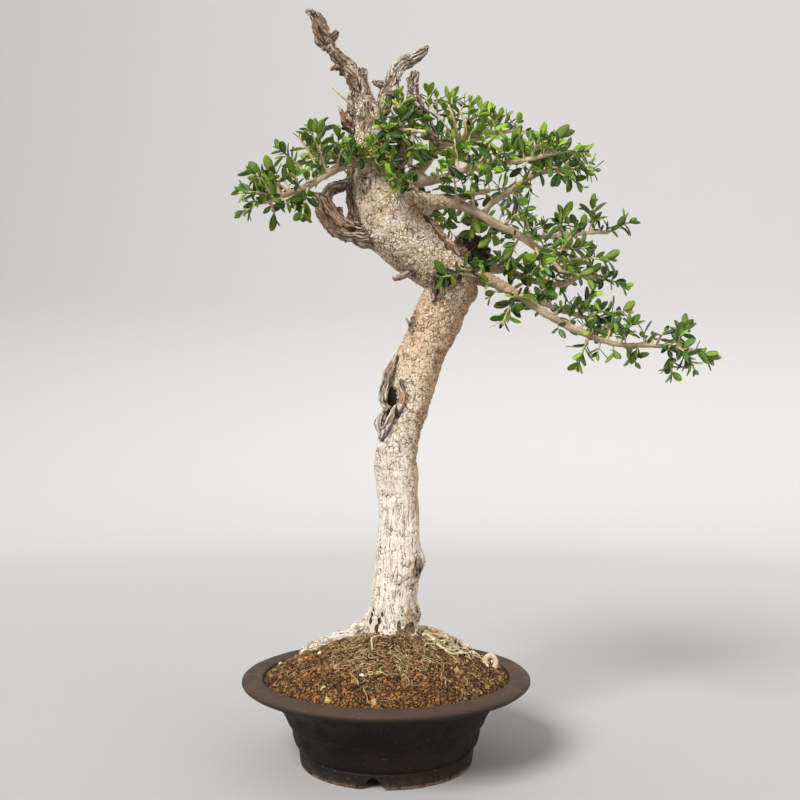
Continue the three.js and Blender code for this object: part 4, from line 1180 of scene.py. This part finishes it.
# Each spray of the frame, by limb: how far along it grows, and where its tip reaches.
SPRAYS = {
    "left": [
        (0.32, -52, -50, 679), (0.5, -76, -31, 694), (0.59, -111, -66, 658), (0.62, -87, -76, 587),
        (0.76, -144, -50, 639), (0.87, -145, -85, 608), (0.99, -153, -59, 594),
    ],
    "backLeft": [(0.29, -45, 69, 708), (0.75, -96, 113, 702), (0.98, -111, 91, 688)],
    "crown": [(0.97, 16, -25, 724), (0.68, 2, -45, 691)],
    "top": [(0.37, 47, 8, 749), (0.46, 72, 47, 756), (0.64, 115, 59, 749), (0.99, 178, 57, 712)],
    "high": [(0.6, 125, -77, 653), (0.83, 164, -70, 672), (0.92, 191, -33, 684), (0.99, 210, -65, 656)],
    "mid": [
        (0.12, 8, -68, 630), (0.55, 151, -59, 595), (0.73, 161, -84, 529), (0.82, 211, -57, 555),
        (0.91, 239, -54, 543),
    ],
    "midUp": [(0.99, 240, 27, 664)],
    "midOut": [(0.52, 205, 30, 611), (0.82, 241, 38, 625), (0.99, 282, 28, 603)],
    "knee": [(0.7, 232, 96, 570), (0.99, 282, 60, 534)],
    "low": [
        (0.15, 62, -36, 528), (0.31, 129, -18, 481), (0.62, 210, -27, 434), (0.77, 259, -64, 473),
        (0.92, 307, -45, 422), (0.96, 328, -24, 475), (1.0, 348, -38, 439),
    ],
    "lowUp": [(0.8, 234, 21, 514), (0.99, 280, 52, 503)],
    "back": [(0.6, 105, 142, 637), (0.6, 63, 116, 680), (0.8, 119, 128, 696), (0.99, 165, 127, 665)],
}
# Shoots past those of the frame, in the same way.
MORE_SHOOTS = {
    "left": [
        (0.21, -28, -9, 686), (0.17, -22, -48, 672), (0.1, -9, -40, 676), (0.19, -17, -52, 655),
        (0.24, -36, -45, 665), (0.36, -46, -64, 660), (0.69, -97, -94, 626), (0.8, -138, -20, 637),
        (0.92, -120, -44, 590), (0.86, -144, -62, 618), (0.99, -146, -72, 592), (0.83, -126, -50, 646),
        (0.9, -131, -74, 626), (0.92, -154, -60, 618), (0.48, -85, -35, 692), (0.51, -94, -45, 678),
        (0.45, -78, -60, 676), (0.97, -137, -62, 634), (0.84, -125, -52, 641), (0.99, -145, -66, 602),
        (0.14, -15, -46, 665), (0.12, -22, -30, 675),
    ],
    "backLeft": [(0.53, -71, 87, 717)],
    "crown": [
        (0.8, 31, -3, 717), (0.56, 38, -49, 666), (0.36, 4, -66, 647), (0.47, -2, -46, 664),
        (0.98, 15, -32, 730), (0.98, 0, -38, 718), (0.99, 29, -18, 718), (0.92, 13, -47, 697),
        (0.85, -6, -46, 692), (0.73, 21, -50, 680), (0.57, 30, -52, 666), (0.87, 38, -32, 694),
        (0.99, 43, -14, 712),
    ],
    "top": [
        (0.53, 89, 13, 738), (0.74, 131, 29, 728), (0.67, 112, 96, 737), (0.57, 78, 79, 692),
        (0.45, 57, 8, 741), (0.55, 75, 16, 745), (0.66, 96, 22, 741), (0.81, 123, 28, 731),
        (0.9, 140, 34, 729), (0.76, 128, 5, 704),
    ],
    "high": [
        (0.37, 66, -57, 645), (0.49, 92, -68, 645), (0.72, 143, -35, 679), (0.46, 93, -14, 690),
        (0.42, 75, -28, 682), (0.57, 106, -40, 674), (0.48, 86, -45, 665), (0.79, 152, -30, 667),
        (0.81, 158, -20, 675), (0.71, 139, -22, 683), (0.85, 161, -40, 666), (0.94, 178, -25, 670),
    ],
    "mid": [
        (0.57, 114, -7, 573), (0.65, 136, -12, 549), (0.99, 223, -38, 522), (0.14, 23, -60, 628),
        (0.33, 73, -57, 630), (0.42, 95, -52, 620), (0.7, 150, -58, 587), (0.9, 196, -66, 566),
        (0.44, 94, 10, 585), (0.52, 113, -8, 581),
    ],
    "midUp": [
        (0.93, 230, 56, 653), (0.86, 222, 66, 690), (0.65, 162, 10, 696), (0.89, 191, 38, 700),
        (0.97, 218, 26, 666), (0.99, 234, 40, 668), (0.81, 202, 8, 652), (0.56, 170, -12, 667),
        (0.99, 226, 26, 688), (0.4, 150, 0, 618), (0.97, 211, 20, 661), (0.99, 235, 34, 675),
        (0.66, 196, -10, 656),
    ],
    "midOut": [
        (0.35, 177, -6, 592), (0.61, 218, 8, 594), (0.62, 236, 45, 574), (0.2, 164, -24, 586),
        (0.1, 153, -40, 590),
    ],
    "knee": [
        (0.24, 124, 60, 566), (0.3, 128, 3, 559), (0.5, 184, 20, 555), (0.8, 258, 85, 550),
        (0.4, 171, 68, 521), (0.16, 104, 0, 552), (0.28, 134, 58, 566), (0.34, 146, 14, 556),
        (0.41, 164, 62, 560), (0.55, 192, 40, 566), (0.31, 142, 28, 543), (0.38, 164, 30, 541),
        (0.68, 215, 40, 547), (0.94, 245, 70, 556),
    ],
    "low": [
        (0.22, 111, -14, 524), (0.78, 271, -31, 436), (0.85, 286, -17, 461), (0.88, 296, -56, 466),
        (0.95, 315, -60, 445), (0.3, 136, 2, 522), (0.36, 153, -3, 500), (0.33, 140, -32, 508),
        (0.72, 248, -20, 479), (0.95, 322, -52, 434), (0.99, 332, -40, 428), (0.91, 302, -60, 452),
        (0.17, 82, -30, 538), (0.25, 117, 0, 512),
    ],
    "lowUp": [
        (0.4, 177, -11, 520), (0.89, 253, 27, 476), (0.95, 250, 20, 499), (0.7, 222, 20, 504),
        (0.83, 232, 26, 500), (0.98, 250, 20, 475),
    ],
    "back": [(0.2, 64, 97, 615), (0.4, 80, 112, 608), (0.89, 141, 92, 636), (0.26, 37, 102, 669)],
}
# Short leafy spurs along each limb: from which share of its run they grow, and how many.
SPURS = {
    "left": (0.22, 20), "backLeft": (0.3, 8), "crown": (0.2, 14), "top": (0.22, 26), "high": (0.3, 24),
    "mid": (0.5, 14), "midUp": (0.3, 14), "midOut": (0.2, 16), "knee": (0.25, 20), "low": (0.4, 24),
    "lowUp": (0.2, 12), "back": (0.3, 12),
}
# Tiny shoots that open from the burls low on the trunk.
SPROUTS = {"low": [(37, -9, 226), (32.5, -10, 166)]}
WORD = 0xFFFFFFFF
LEAF_ROWS = (0.07, 0.15, 0.28, 0.44, 0.61, 0.77, 0.9, 0.97)
LEAF_COLUMNS = (-1.0, -0.5, 0.0, 0.5, 1.0)


def seeded_random(seed):
    """The frame's own small generator, so that its leaves are drawn in the same places."""
    state = seed

    def draw():
        nonlocal state
        state = (state + 0x6D2B79F5) & WORD
        mixed = ((state ^ (state >> 15)) * (1 | state)) & WORD
        mixed = ((mixed + (((mixed ^ (mixed >> 7)) * (61 | mixed)) & WORD)) & WORD) ^ mixed
        return (mixed ^ (mixed >> 14)) / (WORD + 1)

    return draw


def shoot_knots(limb, along, tip):
    base, end = curve_points(LIMBS[limb], along)[0], np.array(tip, float)
    middle = (base + end) / 2 + UP * SHOOT.arch * np.linalg.norm(end - base)
    radii = SHOOT.base_radius, (SHOOT.base_radius + SHOOT.tip_radius) / 2, SHOOT.tip_radius
    return [[*place, radius] for place, radius in zip((base, middle, end), radii)]


def blade(root, tangent, outward, lean, length, skyward):
    """A leaf blade's place and directions: along it, and out of its upper face."""
    direction = tangent * math.cos(lean) + outward * math.sin(lean)
    face = tangent + UP * skyward
    return root, direction, unit(face - direction * (face @ direction)), length


def turned_side(tangent, azimuth):
    side = unit(np.cross(tangent, UP))
    return side * math.cos(azimuth) + np.cross(tangent, side) * math.sin(azimuth)


def frame_blades(knots, random):
    """The opposite pairs that the frame's spray has, each turned a quarter from the last."""
    total = curve_length(knots)
    turn = random() * math.pi
    blades = []
    for pair in range(SHOOT.pairs):
        along = max(0, 1 - (SHOOT.bud + pair * SHOOT.pair_spacing) / total)
        azimuth = turn + pair * math.pi / 2 + (random() - 0.5) * SHOOT.turn_jitter
        root, tangent = curve_place(knots, along)
        outward = turned_side(tangent, azimuth)
        for sign in (1, -1):
            low, high = LEAF.lean
            lean = math.radians(low + (high - low) * (pair + random()) / SHOOT.pairs)
            length = LEAF.length[0] + (LEAF.length[1] - LEAF.length[0]) * random()
            if np.linalg.norm(root - np.array(knots[0][:3])) > SHOOT.bare_length:
                blades.append(blade(root, tangent, sign * outward, lean, length, LEAF.skyward))
    return blades, turn


def filling_blades(knots, rng, turn, pairs):
    """Pairs between those of the frame, and the small leaves that open at the shoot's tip."""
    total, back, index, blades = curve_length(knots), FILL.first, 0, []
    while total - back > SHOOT.bare_length * 0.6 and index < pairs:
        root, tangent = curve_place(knots, 1 - back / total)
        outward = turned_side(tangent, turn + math.pi / 4 + index * math.pi / 2 + rng.normal(0, 0.25))
        for sign in (1, -1):
            if rng.uniform() < FILL.kept:
                length = rng.uniform(*FILL.length)
                lean = math.radians(rng.uniform(*FILL.lean))
                blades.append(blade(root, tangent, sign * outward, lean, length, FILL.skyward))
        back += rng.uniform(*FILL.gap)
        index += 1
    root, tangent = curve_place(knots, 1.0)
    outward = turned_side(tangent, turn + math.pi / 2)
    for sign in (1, -1):
        lean = math.radians(rng.uniform(*BUD.lean))
        blades.append(blade(root, tangent, sign * outward, lean, rng.uniform(*BUD.length), BUD.skyward))
    return blades


def leaf_template():
    """Corners of a blade as (along, across, side), with side 1 above and -1 below, and its faces."""
    corners, rows = [(0.0, 0.0, 0.0)], []
    for along in LEAF_ROWS:
        above = [len(corners) + column for column in range(5)]
        corners += [(along, across, 1.0 if abs(across) < 1 else 0.0) for across in LEAF_COLUMNS]
        below = [above[0], *(len(corners) + column for column in range(3)), above[4]]
        corners += [(along, across, -1.0) for across in LEAF_COLUMNS[1:-1]]
        rows.append((above, below))
    tip, faces = len(corners), []
    corners.append((1.0, 0.0, 0.0))
    for (above, below), (next_above, next_below) in zip(rows, rows[1:]):
        for a, b in itertools.pairwise(range(5)):
            faces.append([above[a], above[b], next_above[b], next_above[a]])
            faces.append([below[b], below[a], next_below[a], next_below[b]])
    (first_above, first_below), (last_above, last_below) = rows[0], rows[-1]
    for a, b in itertools.pairwise(range(5)):
        faces += [[0, first_above[b], first_above[a]], [0, first_below[a], first_below[b]]]
        faces += [[tip, last_above[a], last_above[b]], [tip, last_below[b], last_below[a]]]
    return np.array(corners), faces


LEAF_CORNERS, LEAF_FACES = leaf_template()


def leaf_width(along):
    """Half the blade's width as a share of its greatest: a short stalk, then oval with a round tip."""
    share = np.clip((along - 0.06) / 0.94, 0, 1)
    oval = (4 * share * (1 - share)) ** 0.62 * (0.78 + 0.22 * soft_step(share, 0.0, 0.6))
    return np.maximum(oval, 0.10 * (along < 0.5))


def add_leaf(shape, leaf, rng, tone):
    along, across, side = LEAF_CORNERS.T
    root, direction, face, length = leaf
    direction = unit(direction + rng.normal(0, 0.10, 3))
    face = unit(face - direction * (face @ direction) + rng.normal(0, 0.12, 3))
    face = unit(face - direction * (face @ direction))
    crosswise = np.cross(face, direction)
    half = leaf_width(along) * (LEAF.width_ratio * rng.uniform(0.88, 1.36) / 2) * length
    twist = rng.normal(0, 0.22) * along
    cosine, sine = np.cos(twist)[:, None], np.sin(twist)[:, None]
    cup, arch = rng.uniform(0.02, 0.30), rng.uniform(-0.02, 0.2)
    thickness = LEAF.thickness * side * (1 - 0.25 * np.abs(across))
    rib = (np.abs(across) < 0.1) * np.where(side > 0, LEAF.rib_rise, np.where(side < 0, LEAF.rib_fall, 0))
    lift = cup * half * across**2 - arch * length * along**1.8 + thickness + rib
    points = (
        root + direction * (along * length)[:, None]
        + (crosswise * cosine + face * sine) * (half * across)[:, None]
        + (face * cosine - crosswise * sine) * lift[:, None]
    )
    shape.add(
        points, LEAF_FACES, 0, under=(side < 0).astype(float), across=np.abs(across), along=along,
        tone=tone, hue=rng.uniform(), bark_co=np.zeros(3), young=0.0,
    )


def add_stem(shape, knots):
    length = curve_length(knots)
    shares = np.linspace(0, 1, max(6, int(length / 3)))
    centres, radii = curve_rings(knots, shares)
    bulge = 1 + 0.28 * np.maximum(0, np.sin(shares * length * 2 * math.pi / SHOOT.pair_spacing)) ** 6
    points, faces, _ = sweep(centres, radii * 0.8 * bulge, 7, steady_axis(knots), dome=2)
    share = np.linspace(0, 1, len(points))
    shape.add(
        points, faces, 1, under=0.0, across=1.0, along=share, tone=0.5, hue=0.5, bark_co=points,
        young=0.6 + 0.4 * share,
    )


def leafy_shoot(shape, knots, rng, freshness, seed=None):
    """A leafy shoot: one of the frame's where it has a seed, and otherwise one that fills between them."""
    if seed is None:
        blades = filling_blades(knots, rng, rng.uniform(0, math.pi), 4)
    else:
        blades, turn = frame_blades(knots, seeded_random(seed))
        blades += filling_blades(knots, rng, turn, 3)
    start, end = np.array(knots[0][:3]), np.array(knots[-1][:3])
    reach = np.linalg.norm(end - start)
    for leaf in blades:
        outer = np.linalg.norm(leaf[0] - start) / reach
        tone = np.clip(freshness + 0.35 * (outer - 0.6) + rng.normal(0, TONE_SPREAD), 0, 1)
        add_leaf(shape, leaf, rng, tone)
    add_stem(shape, knots)


def leafy_spur(shape, limb, along, rng, tone):
    """A twig of a few millimetres out of the limb, with one or two pairs of leaves."""
    base, tangent = curve_place(limb, along)
    heading = unit(rng.normal(size=3) + np.array([0.1, -0.1, 0.8]))
    heading = unit(heading - tangent * (heading @ tangent) * 0.6)
    end = base + heading * (float(curve_rings(limb, along)[1][0]) + rng.uniform(*SPUR.reach))
    middle = (base + end) / 2 + rng.normal(0, 0.8, 3)
    knots = [[*place, radius] for place, radius in zip((base, middle, end), SPUR.radii)]
    add_stem(shape, knots)
    azimuth = rng.uniform(0, math.pi)
    for pair in range(2):
        root, aim = curve_place(knots, 1 - 0.35 * pair)
        outward = turned_side(aim, azimuth + pair * math.pi / 2)
        for sign in (1, -1):
            if pair and rng.uniform() < SPUR.missing:
                continue
            lean = math.radians(rng.uniform(*SPUR.lean) + SPUR.opening * pair)
            leaf = blade(root, aim, sign * outward, lean, rng.uniform(*SPUR.length), SPUR.skyward)
            add_leaf(shape, leaf, rng, float(np.clip(tone + rng.normal(0, TONE_SPREAD), 0, 1)))


def freshness_of(tip):
    """Leaves at the top are younger and brighter, partly by painted light; those at the far right older."""
    x, _, z = tip
    return 0.31 + 0.21 * soft_step(np.float64(z), 600, 740) - 0.05 * soft_step(np.float64(x), 180, 330)


def build_foliage(*materials):
    sprays = [(limb, *spray) for limb, rows in SPRAYS.items() for spray in rows]
    for index, (limb, along, *tip) in enumerate(sprays):
        shape, rng, number = Shape(), np.random.default_rng(SEEDS.sprays + index), f"{index + 1:02d}"
        leafy_shoot(shape, shoot_knots(limb, along, tip), rng, freshness_of(tip), index + 1)
        declare(make_mesh("leafy_spray_" + number, shape, *materials), "leaf", "spray_" + number)
    for group, (limb, shoots) in enumerate(MORE_SHOOTS.items()):
        shape, rng = Shape(), np.random.default_rng(SEEDS.shoots + group)
        for along, *tip in shoots:
            leafy_shoot(shape, shoot_knots(limb, along, tip), rng, freshness_of(tip))
        first, count = SPURS[limb]
        for along in np.linspace(first, 1, count):
            tone = freshness_of(curve_points(LIMBS[limb], along)[0])
            leafy_spur(shape, LIMBS[limb], float(along), rng, tone)
        for root in SPROUTS.get(limb, []):
            for side in (-1.0, 1.0):
                leaf = blade(np.array(root), np.array([0.6, -0.6, 0.5]), UP * side, 0.7, 4.5, 0.1)
                add_leaf(shape, leaf, rng, 0.5)
        declare(make_mesh("shoots_" + limb, shape, *materials), "leaf")


def paint_leaf(g):
    place = g.place()
    tone, hue, under, across, along = map(g.read, ("tone", "hue", "under", "across", "along"))
    older = g.tint(g.ramp(hue, 0.1, 0.8), (8, 39, 15), (23, 46, 7))
    grown = g.tint(g.ramp(hue, 0.1, 0.8), (56, 106, 24), (90, 109, 20))
    # Leaves of high tone turn bright lime: young leaves, and painted light shining through them.
    above = g.over(
        g.tint(g.ramp(tone, 0.1, 0.45), older, grown), (g.ramp(tone, 0.45, 0.92), (152, 194, 44)),
        (g.ramp(hue, 0.965, 0.975, 0, 0.75), (198, 186, 66)),
        (g.ramp(g.noise(place, 0.004, 3, 0.6), 0.45, 0.8, 0, 0.3), (30, 60, 18)),
    )
    below = g.tint(g.ramp(tone, 0.1, 0.8), (92, 117, 50), (148, 176, 64))
    midrib = g.ramp(across, 0.2, 0) * g.ramp(along, 0.95, 0.4, 0.05, 0.35)
    stalk = g.ramp(along, 0.12, 0.04)
    colour = g.over(g.tint(under, above, below), (midrib, (150, 172, 84)), (stalk, (206, 204, 130)))
    shine = g.mix(under, g.ramp(tone, 0, 1, 0.3, 0.45), 0.75)
    return {"Base Color": colour, "Roughness": shine}, g.noise(place, 0.0011, 3, 0.6), 0.12


# --------------------------------------------------------------------------- stage and camera
# The photo is 800 pixels wide, and its view has a focal length of 920 of them.
CAMERA_FOCUS = 920 / 800
CAMERA_PLACE = np.array([15.0, -1030.0, 353.0])
CAMERA_PITCH = 2.365
STAGE = SimpleNamespace(radius=1800, bend=900, top=3600, segments=96, colour=(184, 183, 182))
# Soft distant lights: degrees round from the tree's right and up from the floor, strength, softness.
LIGHTS = {"key": (-125, 40, 3.7, 24), "fill": (-45, 25, 1.2, 50)}
LIGHT_COLOUR = (1.0, 0.99, 0.97)
SKY = ((0.97, 0.98, 1.0, 1), 0.56)


def build_camera():
    data = bpy.data.cameras.new("camera")
    data.sensor_width = 36
    data.lens = CAMERA_FOCUS * data.sensor_width
    camera = add_object("camera", data)
    camera.location = CAMERA_PLACE * MM + POT_AXIS
    camera.rotation_euler = (math.radians(90 + CAMERA_PITCH), 0, 0)
    bpy.context.scene.camera = camera


def build_stage():
    """A pale floor that curves up all round into a wall."""
    bend = arc((STAGE.radius, STAGE.bend), STAGE.bend, -85, 0, 16)
    radii, heights = np.array([[0, 0], [STAGE.radius, 0], *bend, [STAGE.radius + STAGE.bend, STAGE.top]]).T
    angles = np.linspace(0, 2 * np.pi, STAGE.segments + 1)[:-1]
    x, y = np.outer(np.cos(angles), radii), np.outer(np.sin(angles), radii)
    faces = grid_faces(STAGE.segments, len(radii), rings_close=True, sides_close=False)
    shape = Shape()
    shape.add(np.stack([x, y, np.tile(heights, (STAGE.segments, 1))], axis=2), faces)
    plain = make_material("pale_floor", lambda g: ({"Base Color": rgb(STAGE.colour)}, None, 0), 0.9, 0.1)
    stage = make_mesh("stage_floor", shape, plain)
    stage.visible_shadow = False


def build_lights():
    for name, (azimuth, elevation, strength, softness) in LIGHTS.items():
        data = bpy.data.lights.new(name, "SUN")
        data.energy, data.angle, data.color = strength, math.radians(softness), LIGHT_COLOUR
        light = add_object(name, data)
        light.rotation_euler = (0, math.radians(90 - elevation), math.radians(azimuth))
    world = bpy.data.worlds.new("studio")
    world.use_nodes = True
    for socket, value in zip(world.node_tree.nodes["Background"].inputs, SKY):
        socket.default_value = value
    bpy.context.scene.world = world
    bpy.context.scene.view_settings.view_transform = "Standard"


# ------------------------------------------------------------------------------------- assembly
def build_all():
    build_camera()
    build_stage()
    build_lights()
    build_pot(make_material("stoneware", paint_pot, 0.62, 0.16))
    build_soil(make_material("grit", paint_soil, 0.95, 0.15))
    loose = make_material("loose_grit", paint_loose, 0.85, 0.25)
    build_grit(loose)
    build_rootlets(loose)
    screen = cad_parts["drain_screen"].data.materials
    screen.clear()
    screen.append(make_material("black_plastic", paint_screen, 0.5))
    young = make_material("young_bark", paint_limbs, 0.7, 0.3)
    bark = make_material("bark", paint_bark, 0.85, 0.25)
    build_wood("wood_trunk", live_parts(), bark, *TRUNK_SKIN)
    build_wood("wood_snags", dead_parts(), bark, *SNAG_SKIN)
    build_limbs(young)
    build_foliage(make_material("leaf", paint_leaf, 0.5, 0.45), young)


build_all()
